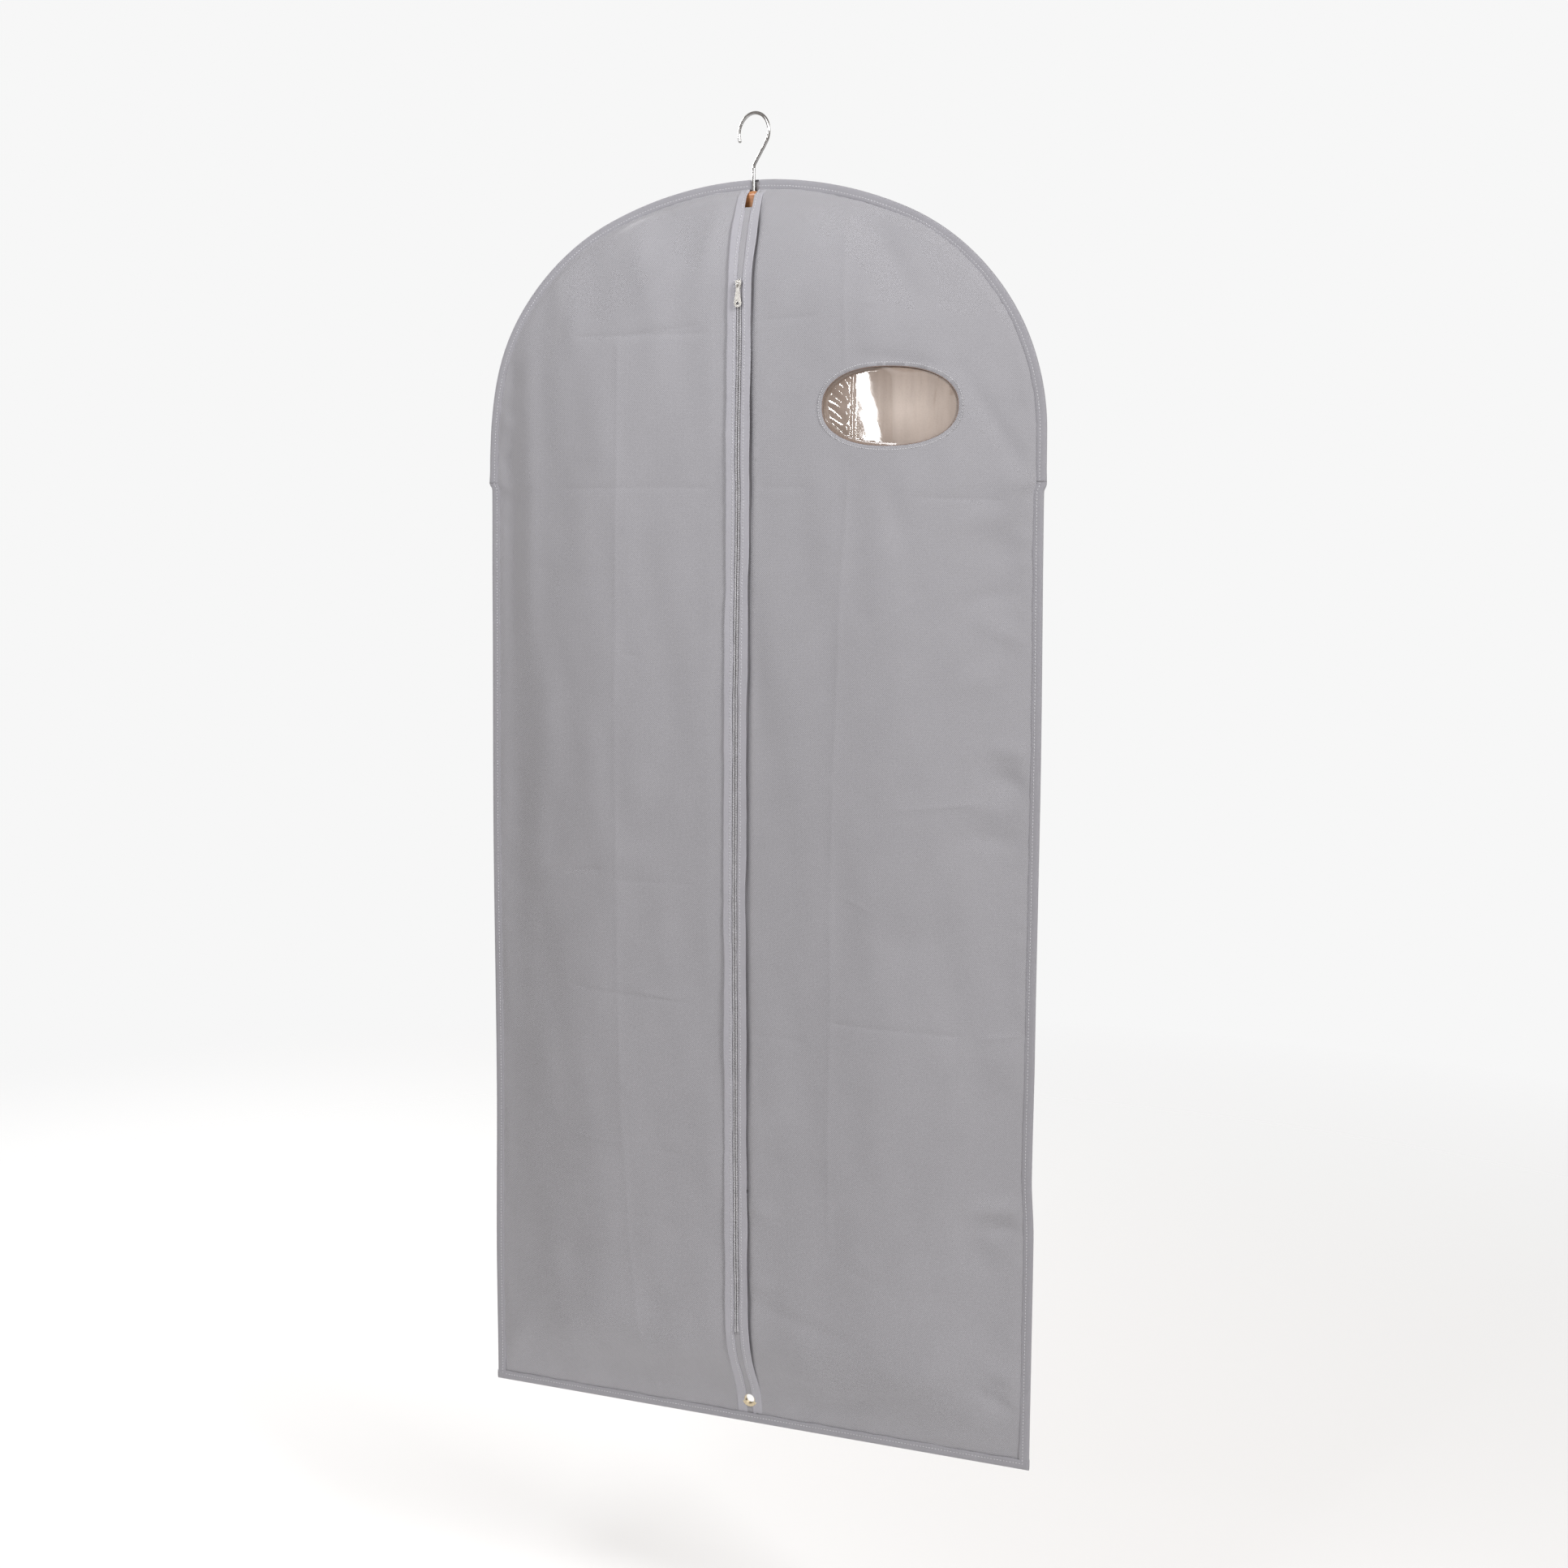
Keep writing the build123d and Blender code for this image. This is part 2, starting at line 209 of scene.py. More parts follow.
# ---------------------------------------------------------------- the cloth's relief
# drop is measured down from the bag's top
# fold lines pressed in by packing: start and end as (x, drop), height, half-width
FOLDS = [
    ((-139, 160), (-142, 560), 0.55, 5), ((-142, 560), (-138, 980), 0.5, 5),
    ((-138, 980), (-112, 1340), 0.55, 6), ((106, 18), (118, 200), 0.55, 5),
    ((120, 300), (108, 620), 0.6, 5), ((108, 620), (104, 1130), 0.55, 5),
    ((-198, 160), (-32, 162), -0.7, 4), ((-130, 162), (-40, 152), -0.6, 5),
    ((18, 150), (90, 148), -0.5, 4), ((122, 134), (180, 136), 0.6, 5), ((252, 134), (286, 136), 0.6, 4),
    ((-215, 322), (-28, 322), -0.5, 3.5), ((14, 322), (86, 322), -0.4, 3.5),
    ((184, 332), (280, 334), -0.6, 4), ((-135, 500), (-108, 500), -0.7, 5),
    ((110, 488), (200, 432), 0.35, 3), ((168, 652), (262, 644), 0.6, 3),
    ((-212, 742), (-152, 734), -0.9, 6), ((-152, 745), (-45, 745), -0.4, 4),
    ((114, 744), (155, 762), 0.5, 3), ((-205, 868), (-50, 874), -0.7, 5),
    ((-120, 866), (-60, 872), 0.8, 6), ((100, 880), (246, 888), -0.7, 4),
    ((256, 890), (303, 884), 0.9, 5), ((14, 902), (84, 904), -0.5, 5),
    ((-205, 1036), (-118, 1036), 0.7, 4), ((-116, 1032), (-46, 1004), -0.6, 3),
    ((-108, 1040), (-52, 1042), -0.5, 4), ((-200, 1115), (-70, 1118), -0.4, 6),
    ((118, 1140), (160, 1158), -0.5, 5),
]
# soft dents and swells: x, drop, half-size across, half-size down, turn in degrees, height
SWELLS = [
    (-128, 62, 20, 52, -18, 2.6), (-68, 62, 22, 34, 0, -2.4), (-38, 70, 14, 50, 8, 2.0),
    (-95, 108, 16, 46, 38, 1.6), (-215, 118, 16, 50, -20, 1.8), (-180, 96, 22, 46, -15, -1.6),
    (-258, 330, 16, 190, 0, 3.0), (-286, 360, 10, 160, 0, -2.2), (-240, 620, 22, 170, 2, 2.2),
    (-276, 700, 16, 140, 0, -2.0), (60, 60, 40, 40, 0, 1.6), (82, 96, 20, 30, 30, -1.8),
    (150, 82, 16, 88, -36, -3.2), (190, 60, 18, 60, -36, 1.8), (176, 196, 44, 9, 8, -2.2),
    (205, 150, 30, 16, -10, 1.4), (262, 250, 12, 56, -34, -3.0), (282, 268, 10, 44, -34, 1.6),
    (286, 318, 20, 22, 20, 3.2), (262, 352, 26, 14, -18, 2.6), (278, 384, 16, 16, 0, -2.0),
    (172, 352, 12, 34, -14, -1.8), (96, 380, 24, 60, 0, 1.5), (60, 520, 34, 80, -12, 2.2),
    (20, 500, 16, 90, 0, -1.6), (280, 470, 28, 10, 24, 1.6), (262, 432, 26, 9, -14, -1.4),
    (250, 520, 22, 14, -20, 1.5), (285, 622, 22, 12, 18, -3.0), (286, 590, 22, 10, 10, 1.8),
    (268, 680, 24, 12, 12, -2.2), (262, 648, 30, 10, 8, 1.4), (188, 790, 34, 26, -28, -2.6),
    (252, 760, 26, 60, -20, 1.8), (232, 860, 22, 70, -14, -2.0), (284, 915, 26, 22, 0, 2.4),
    (28, 1010, 30, 30, 0, 1.5), (24, 1092, 16, 10, 0, 2.6), (24, 1174, 18, 9, 0, 2.4),
    (70, 1050, 36, 20, 0, -1.6), (282, 1070, 24, 9, -6, 3.4), (286, 1092, 24, 8, -4, -2.6),
    (262, 1120, 14, 26, -30, -2.4), (232, 1020, 22, 90, 8, 2.0), (288, 1250, 20, 9, 24, 2.6),
    (280, 1278, 24, 8, 30, -3.0), (250, 1310, 60, 16, -42, 2.8), (200, 1262, 80, 18, -38, 2.2),
    (150, 1296, 70, 12, -20, -2.4), (60, 1240, 40, 26, 0, 1.6), (70, 1210, 60, 8, 14, -1.4),
    (-180, 1180, 60, 22, 4, -2.0), (-100, 1215, 26, 22, 0, -2.4), (-70, 1262, 30, 34, 0, 1.8),
    (-282, 1290, 14, 30, 30, 2.0), (-240, 1270, 26, 40, 30, -1.6), (-282, 200, 12, 12, 0, -2.4),
    (-290, 250, 10, 10, 0, 2.2), (-292, 292, 10, 9, 0, -2.2), (-288, 322, 12, 9, 0, 2.0),
    (-270, 720, 22, 18, 0, 1.6), (-262, 760, 20, 9, -10, -1.6), (-120, 640, 24, 30, 0, 1.4),
    (-120, 720, 24, 22, 0, 1.6), (-60, 820, 30, 60, 0, -1.4), (-255, 930, 40, 34, 20, 1.6),
]


FOLD_GAIN, SWELL_GAIN = 1.5, 1.35
BACK_SWELL = 4.0         # the highest of the back's soft swells
RIM, RIM_FADE = 9.0, 10.0   # the relief fades out over this stretch inside the edge


def relief(x, z):
    """How far the front cloth stands off its smooth swell."""
    drop = TOP - z
    h = np.zeros_like(x)
    for (x0, d0), (x1, d1), height, wide in FOLDS:
        dx, dd = x1 - x0, d1 - d0
        length = math.hypot(dx, dd)
        along = ((x - x0) * dx + (drop - d0) * dd) / length
        across = ((x - x0) * -dd + (drop - d0) * dx) / length
        across = across + 0.8 * np.sin(along / 37.0 + x0)
        ends = np.clip(along / 14, 0, 1) * np.clip((length - along) / 14, 0, 1)
        h += FOLD_GAIN * height * ends * np.exp(-np.abs(across) / wide * 1.4)
    for cx, cd, a, b, turn, height in SWELLS:
        u, v = turned(x, drop, (cx, cd), math.radians(turn))
        h += SWELL_GAIN * height * np.exp(-((u / a) ** 2) - (v / b) ** 2)
    r = np.random.default_rng(7)
    for _ in range(26):
        kx, kz = r.normal(0, 1 / 90), r.normal(0, 1 / 260)
        h += 0.17 * np.sin(2 * math.pi * (kx * x + kz * z) + r.uniform(0, 6.3))
    pucker = 0.55 * np.sin(drop / 5.2 + 2.0 * np.sin(drop / 31.0)) * np.exp(-((inset(x, z) - 13) / 9.0) ** 2)
    h += pucker * (0.5 + 0.5 * np.sin(drop / 71.0 + x / 90.0))
    edge = np.clip((inset(x, z) - RIM) / RIM_FADE, 0, 1)
    seam = np.clip((np.abs(x) - 8.0) / 16.0, 0, 1)
    return h * edge * seam


def back_relief(x, z):
    """How far the back cloth stands off its smooth swell: soft swells and the lines pressed in by packing."""
    drop = TOP - z
    r = np.random.default_rng(11)
    h = np.zeros_like(x)
    for _ in range(40):
        cx, cd = r.uniform(-280, 280), r.uniform(40, 1310)
        a, b, t = r.uniform(14, 60), r.uniform(10, 80), r.uniform(-0.8, 0.8)
        u, v = turned(x, drop, (cx, cd), t)
        h += r.uniform(-BACK_SWELL, BACK_SWELL) * np.exp(-((u / a) ** 2) - (v / b) ** 2)
    for at_x in (-150, 0, 150):
        h += 0.6 * np.exp(-np.abs(x - at_x - 3 * np.sin(drop / 90.0)) / 3.5)
    for at_drop in (160, 322, 500, 745, 880, 1036, 1180):
        h += -0.5 * np.exp(-np.abs(drop - at_drop - 2 * np.sin(x / 80.0)) / 3.5)
    edge = np.clip((inset(x, z) - RIM) / RIM_FADE, 0, 1)
    return h * edge


# how far the zip line hangs to the right, by drop
BOW = [
    (-10, 0.6), (60, 0.5), (104, 0), (150, 0), (300, -1.6), (322, -0.9), (500, -2.6), (540, -3.2),
    (750, -3.5), (845, -3.0), (880, -2.4), (1000, -1.9), (1120, -1.0), (1195, 0), (1400, 0),
]
# how far the sides stand out, by drop, with a step where the binding is joined
SIDE_LEFT = [
    (60, 0), (150, 0.8), (235, -1.0), (300, 1.2), (316, 2.0), (322, -1.2), (430, -0.5), (700, 0.8),
    (1000, -0.8), (1200, 1.0), (1345, 0),
]
SIDE_RIGHT = [
    (60, 0), (180, 0.8), (300, 1.5), (318, 1.9), (326, -0.8), (600, 0.5), (900, -0.9), (1036, -2.0),
    (1100, 0.8), (1345, 0),
]


def bow(x, z):
    """How far the cloth is moved sideways, along the zip line and at the sides."""
    drop = TOP - z
    side = np.where(x < 0, -steps(drop, SIDE_LEFT), steps(drop, SIDE_RIGHT))
    near_side = np.clip((np.abs(x) - 200) / 80, 0, 1)
    return steps(drop, BOW) * np.clip(1 - np.abs(x) / HALF, 0, 1) + side * near_side


def on_bag(x, y, z):
    """Points of the bag, moved sideways as its cloth hangs."""
    return np.stack([x + bow(x, z), y, z], 1)


def front_y(x, z):
    """The front cloth's middle surface."""
    live = np.clip((TOP - z - 16) / 40, 0, 1) * np.clip((z - BOTTOM - 40) / 60, 0, 1)
    depth = 3.4 + 0.5 * wobble(z, 3, 170.0)
    valley = -depth * steps(x, [(7.5, 0), (11.0, 1), (13.6, 1), (18.5, 0)])
    valley += -1.5 * steps(x, [(-34, 0), (-16, 1), (-13, 1), (-8, 0)])
    ring = oval_distance(x, z)
    welt = 0.5 * np.exp(-((ring - 1.6) / 2.2) ** 2) - 0.45 * np.exp(-((ring - 4.2) / 1.3) ** 2)
    return SEAM - swell_front(x, z) - relief(x, z) - valley * live - welt - PANEL_THICK


def back_y(x, z):
    return SEAM + swell_back(x, z) + back_relief(x, z) + PANEL_THICK


# ---------------------------------------------------------------- mesh helpers
def new_object(name, verts_mm, faces):
    mesh = bpy.data.meshes.new(name)
    mesh.from_pydata((np.asarray(verts_mm) * MM).tolist(), [], [list(map(int, f)) for f in faces])
    mesh.validate()
    mesh.polygons.foreach_set("use_smooth", [True] * len(mesh.polygons))
    mesh.update()
    obj = bpy.data.objects.new(name, mesh)
    bpy.context.scene.collection.objects.link(obj)
    return obj


def thicken(obj, thick_mm):
    m = obj.modifiers.new("thickness", "SOLIDIFY")
    m.thickness = thick_mm * MM
    m.offset = 0.0
    m.use_even_offset = False


def finish_piece(obj, body, material, nodes=()):
    obj.data.materials.clear()
    obj.data.materials.append(material)
    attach(obj, body)
    if nodes:
        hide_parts(*nodes)


def resampled(points, step):
    """A closed or open line with points about step apart."""
    p = np.asarray(points, float)
    run = run_along(p)
    at = np.linspace(0, run[-1], max(2, int(round(run[-1] / step)) + 1))
    return np.stack([np.interp(at, run, p[:, 0]), np.interp(at, run, p[:, 1])], 1)


def arch_line(inside):
    """The outline drawn in by inside, from the lower left corner over the top to the lower right one."""
    count = 400
    sx, sz, cz = HALF - SHOULDER, TOP - DROP, TOP - CROWN
    turn = math.atan2(CROWN - DROP, sx)
    a = np.linspace(0, turn, count)
    r = SHOULDER - inside
    right = np.stack([sx + r * np.cos(a), sz + r * np.sin(a)], 1)
    b = np.linspace(turn, math.pi / 2, count)
    r = CROWN - inside
    crown = np.stack([r * np.cos(b), cz + r * np.sin(b)], 1)
    half = np.concatenate([[[HALF - inside, BOTTOM + inside]], right, crown[1:]])
    left = half[::-1][1:] * [-1, 1]
    return np.concatenate([half, left])[::-1]


OVAL_POWER = 2.3         # a little squarer than an ellipse


def oval(grow, count):
    """The window's edge, drawn out by grow."""
    t = np.linspace(0, 2 * math.pi, count, endpoint=False)
    c, s = np.cos(t), np.sin(t)
    p = 2 / OVAL_POWER
    x = WIN_X + (WIN_A + grow) * np.sign(c) * np.abs(c) ** p
    z = WIN_Z + (WIN_B + grow) * np.sign(s) * np.abs(s) ** p
    return np.stack([x, z], 1)


def oval_distance(x, z):
    """Roughly how far a point is outside the window's edge."""
    p = OVAL_POWER
    u = (np.abs(x - WIN_X) / WIN_A) ** p + (np.abs(z - WIN_Z) / WIN_B) ** p
    return (u ** (1 / p) - 1) * np.minimum(WIN_A, WIN_B) * 1.15


def triangulated(outer, holes, keep, spacing, extra=()):
    """A patch of cloth: a hexagonal net of points inside closed loops, joined by triangles."""
    rng = np.random.default_rng(5)
    lo, hi = outer.min(0), outer.max(0)
    rows = np.arange(lo[1], hi[1], spacing * 0.866)
    pts = []
    for j, z in enumerate(rows):
        x = np.arange(lo[0] + (j % 2) * spacing / 2, hi[0], spacing)
        pts.append(np.stack([x, np.full_like(x, z)], 1))
    pts = np.concatenate(pts)
    pts += rng.uniform(-0.12, 0.12, pts.shape) * spacing
    pts = pts[keep(pts[:, 0], pts[:, 1]) > 0.55 * spacing]
    for line in extra:
        near = np.full(len(pts), 1e9)
        for q in line[::2]:
            near = np.minimum(near, np.hypot(pts[:, 0] - q[0], pts[:, 1] - q[1]))
        pts = pts[near > 2.6]
        fine = []
        d = np.gradient(line, axis=0)
        n = np.stack([-d[:, 1], d[:, 0]], 1) / np.maximum(np.hypot(*d.T), 1e-9)[:, None]
        for off in (-1.7, 0, 1.7):
            q = line + n * off
            fine.append(q[keep(q[:, 0], q[:, 1]) > 1.6])
        pts = np.concatenate([pts, *fine])
    loops = [outer, *holes]
    verts, edges = [], []
    for loop in loops:
        base = len(verts)
        verts += [Vector(p) for p in loop]
        n = len(loop)
        edges += [(base + i, base + (i + 1) % n) for i in range(n)]
    verts += [Vector(p) for p in pts]
    out, _, faces, *_ = delaunay_2d_cdt(verts, edges, [], 0, 1e-4)
    p = np.array([[v.x, v.y] for v in out])
    f = np.array([f for f in faces if len(f) == 3])
    mid = p[f].mean(1)
    f = f[keep(mid[:, 0], mid[:, 1]) > -1e-6]
    a, b, c = p[f[:, 0]], p[f[:, 1]], p[f[:, 2]]
    area = (b[:, 0] - a[:, 0]) * (c[:, 1] - a[:, 1]) - (b[:, 1] - a[:, 1]) * (c[:, 0] - a[:, 0])
    f = np.where((area < 0)[:, None], f[:, ::-1], f)
    used, f = np.unique(f, return_inverse=True)
    return p[used], f.reshape(-1, 3)


def swept(rows, closed_across=False):
    """Quads through rows of points: rows is (along, across, 3)."""
    n, m, _ = rows.shape
    faces = []
    last = m if closed_across else m - 1
    for i in range(n - 1):
        for j in range(last):
            k = (j + 1) % m
            faces.append((i * m + j, (i + 1) * m + j, (i + 1) * m + k, i * m + k))
    return rows.reshape(-1, 3), faces


def tube_faces(rings, around):
    """The faces of a closed form made of rings of points, with both ends capped."""
    faces = []
    for i in range(rings - 1):
        for j in range(around):
            k = (j + 1) % around
            faces.append((i * around + j, i * around + k, (i + 1) * around + k, (i + 1) * around + j))
    faces.append(tuple(range(around))[::-1])
    faces.append(tuple(range((rings - 1) * around, rings * around)))
    return faces


def repeated(faces, verts, times):
    """The faces of so many copies of a form with that many vertices."""
    return [tuple(np.array(f) + i * verts) for i in range(times) for f in faces]


def stitches(name, line, out, pitch=3.4):
    """A row of sewn stitches: line is points in mm, out the direction off the cloth at each."""
    length, width, height = 2.3, 1.0, 0.45
    line = np.asarray(line, float)
    run = np.concatenate([[0], np.cumsum(np.linalg.norm(np.diff(line, axis=0), axis=1))])
    at = np.arange(pitch / 2, run[-1] - pitch / 2, pitch)
    rng = np.random.default_rng(len(name))
    at = at + rng.uniform(-0.12, 0.12, len(at))
    mid = np.stack([np.interp(at, run, line[:, k]) for k in range(3)], 1)
    ahead = np.stack([np.interp(at + 0.5, run, line[:, k]) for k in range(3)], 1)
    tangent = ahead - mid
    tangent /= np.maximum(np.linalg.norm(tangent, axis=1), 1e-9)[:, None]
    up = np.stack([np.interp(at, run, out[:, k]) for k in range(3)], 1)
    up -= (up * tangent).sum(1)[:, None] * tangent
    up /= np.linalg.norm(up, axis=1)[:, None]
    side = np.cross(tangent, up)
    rings = [(-0.5, 0.25), (-0.36, 0.8), (0, 1.0), (0.36, 0.8), (0.5, 0.25)]
    around = np.linspace(0, 2 * math.pi, 6, endpoint=False)
    verts = []
    for t, r in rings:
        for a in around:
            lift = height * (r - 0.55) + math.sin(a) * height * r
            verts.append((t * length, math.cos(a) * width / 2 * r, lift))
    faces = tube_faces(len(rings), len(around))
    local = np.array(verts)
    scale = rng.uniform(0.9, 1.1, len(at))
    world = (mid[:, None] + tangent[:, None] * (local[None, :, :1] * scale[:, None, None])
             + side[:, None] * local[None, :, 1:2] + up[:, None] * local[None, :, 2:3])
    return new_object(name, world.reshape(-1, 3), repeated(faces, len(local), len(at)))


# ---------------------------------------------------------------- materials
class Nodes:
    """A short way to write a material's nodes."""

    def __init__(self, name):
        self.material = bpy.data.materials.new(name)
        self.material.use_nodes = True
        self.tree = self.material.node_tree
        self.shader = self.tree.nodes["Principled BSDF"]
        self.coords = self.tree.nodes.new("ShaderNodeTexCoord").outputs["Object"]

    def link(self, value, socket):
        if isinstance(value, bpy.types.NodeSocket):
            self.tree.links.new(value, socket)
        else:
            socket.default_value = value

    def node(self, kind, **values):
        n = self.tree.nodes.new(kind)
        for key, value in values.items():
            setattr(n, key, value)
        return n

    def math(self, operation, a, b=0.0):
        n = self.node("ShaderNodeMath", operation=operation)
        self.link(a, n.inputs[0])
        self.link(b, n.inputs[1])
        return n.outputs[0]

    def axes(self):
        n = self.node("ShaderNodeSeparateXYZ")
        self.link(self.coords, n.inputs[0])
        return n.outputs

    def scaled(self, scale):
        n = self.node("ShaderNodeMapping")
        self.link(self.coords, n.inputs["Vector"])
        n.inputs["Scale"].default_value = scale
        return n.outputs[0]

    def noise(self, scale, detail=2.0, rough=0.5, stretch=None):
        n = self.node("ShaderNodeTexNoise")
        self.link(self.scaled(stretch) if stretch else self.coords, n.inputs["Vector"])
        n.inputs["Scale"].default_value = scale
        n.inputs["Detail"].default_value = detail
        n.inputs["Roughness"].default_value = rough
        return n.outputs["Fac"]

    def spread(self, value, low, high, to_low=0.0, to_high=1.0):
        n = self.node("ShaderNodeMapRange", clamp=True)
        self.link(value, n.inputs["Value"])
        for key, v in (("From Min", low), ("From Max", high), ("To Min", to_low), ("To Max", to_high)):
            n.inputs[key].default_value = v
        return n.outputs[0]

    def mix(self, factor, a, b):
        n = self.node("ShaderNodeMix", data_type="RGBA")
        self.link(factor, n.inputs["Factor"])
        self.link(a, n.inputs[6])
        self.link(b, n.inputs[7])
        return n.outputs[2]

    def bump(self, height, distance, strength):
        n = self.node("ShaderNodeBump")
        self.link(height, n.inputs["Height"])
        n.inputs["Distance"].default_value = distance
        n.inputs["Strength"].default_value = strength
        return n.outputs[0]

    def set(self, **values):
        for key, value in values.items():
            self.link(value, self.shader.inputs[key.replace("_", " ")])


def rgb(r, g, b):
    """A colour given as it looks on a screen, 0 to 255, made linear."""
    out = []
    for c in (r, g, b):
        c /= 255
        out.append(c / 12.92 if c <= 0.04045 else ((c + 0.055) / 1.055) ** 2.4)
    return (*out, 1.0)


def shaded(colour, by):
    """A darker or lighter copy of a colour."""
    return tuple(min(1, c * by) for c in colour[:3]) + (1.0,)


def nonwoven(name, colour, pitch=0.0023, depth=0.00022, dimple_shade=0.28):
    """Spun cloth pressed with a diagonal net of small points; its tone varies at random, and painted shade
    darkens each point's dimple.
    """
    m = Nodes(name)
    x, y, z = m.axes()
    across = m.math("ADD", x, m.math("MULTIPLY", y, 0.8))
    a = m.math("MULTIPLY", m.math("ADD", across, z), math.pi / pitch)
    b = m.math("MULTIPLY", m.math("SUBTRACT", across, z), math.pi / pitch)
    point = m.math("MULTIPLY", m.math("SINE", a), m.math("SINE", b))
    point = m.math("MULTIPLY", point, point)
    fibre = m.noise(900, 3, 0.6, (1, 1, 0.5))
    cloud = m.noise(26, 4, 0.6)
    wide = m.noise(3.2, 2, 0.5)
    # painted shade darkens the pressed points, as in their dimples; the fibre, cloud and wide noises are the
    # cloth's own tone
    tone_and_dimple_shade = m.math("ADD", m.math("MULTIPLY", point, -dimple_shade), m.math("MULTIPLY", fibre, 0.14))
    tone_and_dimple_shade = m.math("ADD", tone_and_dimple_shade, m.math("MULTIPLY", cloud, 0.10))
    tone_and_dimple_shade = m.math("ADD", tone_and_dimple_shade, m.math("MULTIPLY", wide, 0.06))
    m.set(Base_Color=m.mix(m.spread(tone_and_dimple_shade, -0.02, 0.24), shaded(colour, 0.80), shaded(colour, 1.10)))
    m.set(Roughness=m.spread(fibre, 0.2, 0.8, 0.78, 0.92))
    relief_height = m.math("SUBTRACT", m.math("MULTIPLY", fibre, 0.35), point)
    m.set(Normal=m.bump(relief_height, depth, 0.7))
    m.set(Sheen_Weight=0.25, Sheen_Roughness=0.6, Specular_IOR_Level=0.3)
    return m.material


def woven(name, colour):
    """Fine woven tape."""
    pitch = 0.0006
    m = Nodes(name)
    x, _, z = m.axes()
    warp = m.math("SINE", m.math("MULTIPLY", x, 2 * math.pi / pitch))
    weft = m.math("SINE", m.math("MULTIPLY", z, 2 * math.pi / pitch))
    weave = m.math("MULTIPLY", warp, weft)
    fuzz = m.noise(1200, 2, 0.6)
    m.set(Base_Color=m.mix(m.spread(m.math("ADD", weave, fuzz), -0.6, 1.6), shaded(colour, 0.75), colour))
    m.set(Roughness=m.spread(fuzz, 0.3, 0.7, 0.75, 0.9), Normal=m.bump(weave, 0.00008, 0.6))
    m.set(Sheen_Weight=0.15)
    return m.material


def spun(name, colour):
    """Twisted sewing thread."""
    pitch = 0.0005
    m = Nodes(name)
    x, _, z = m.axes()
    twist = m.math("SINE", m.math("MULTIPLY", m.math("ADD", x, z), 2 * math.pi / pitch))
    m.set(Base_Color=m.mix(m.spread(twist, -1, 1), shaded(colour, 0.85), colour))
    m.set(Roughness=m.spread(twist, -1, 1, 0.5, 0.65), Normal=m.bump(twist, 0.00005, 0.5))
    m.set(Sheen_Weight=0.2)
    return m.material


def plated(name, colour, rough, brush=(1, 1, 1)):
    """Plated metal with faint smears and spots."""
    m = Nodes(name)
    smear = m.noise(260, 3, 0.6, brush)
    spots = m.noise(1400, 2, 0.5)
    m.set(Base_Color=m.mix(m.spread(smear, 0.3, 0.7), shaded(colour, 0.82), colour))
    worn = m.math("ADD", smear, m.math("MULTIPLY", spots, 0.3))
    m.set(Roughness=m.spread(worn, 0.3, 1.0, rough - 0.08, rough + 0.14))
    m.set(Normal=m.bump(m.math("ADD", smear, spots), 0.00003, 0.35))
    m.set(Metallic=1.0)
    return m.material


def moulded(name, colour):
    """Plain moulded plastic."""
    m = Nodes(name)
    grain = m.noise(1600, 3, 0.6)
    tone = m.noise(90, 2, 0.5)
    m.set(Base_Color=m.mix(m.spread(tone, 0.3, 0.7), shaded(colour, 0.82), colour))
    m.set(Roughness=m.spread(grain, 0.3, 0.7, 0.4, 0.6), Normal=m.bump(grain, 0.00003, 0.4))
    return m.material


def timber(name):
    """Light lacquered wood with its grain along the hanger's arms."""
    m = Nodes(name)
    flow = m.noise(9, 3, 0.55, (0.25, 1.0, 1.6))
    rings = m.node("ShaderNodeTexWave", wave_type="BANDS", bands_direction="Z")
    m.link(m.scaled((0.12, 0.8, 1.0)), rings.inputs["Vector"])
    for key, value in (("Scale", 150.0), ("Distortion", 9.0), ("Detail", 3.0), ("Detail Scale", 1.2)):
        rings.inputs[key].default_value = value
    pores = m.noise(900, 3, 0.7, (0.05, 1, 1))
    tone = m.mix(m.spread(flow, 0.3, 0.7), rgb(196, 132, 84), rgb(222, 164, 112))
    tone = m.mix(m.spread(rings.outputs["Fac"], 0.2, 1.0, 0.0, 0.55), tone, rgb(170, 104, 60))
    tone = m.mix(m.spread(pores, 0.55, 0.8, 0.0, 0.5), tone, rgb(128, 74, 40))
    m.set(Base_Color=tone, Roughness=m.spread(flow, 0.2, 0.8, 0.3, 0.45))
    m.set(Normal=m.bump(pores, 0.00006, 0.4))
    m.set(Coat_Weight=0.35, Coat_Roughness=0.12)
    return m.material


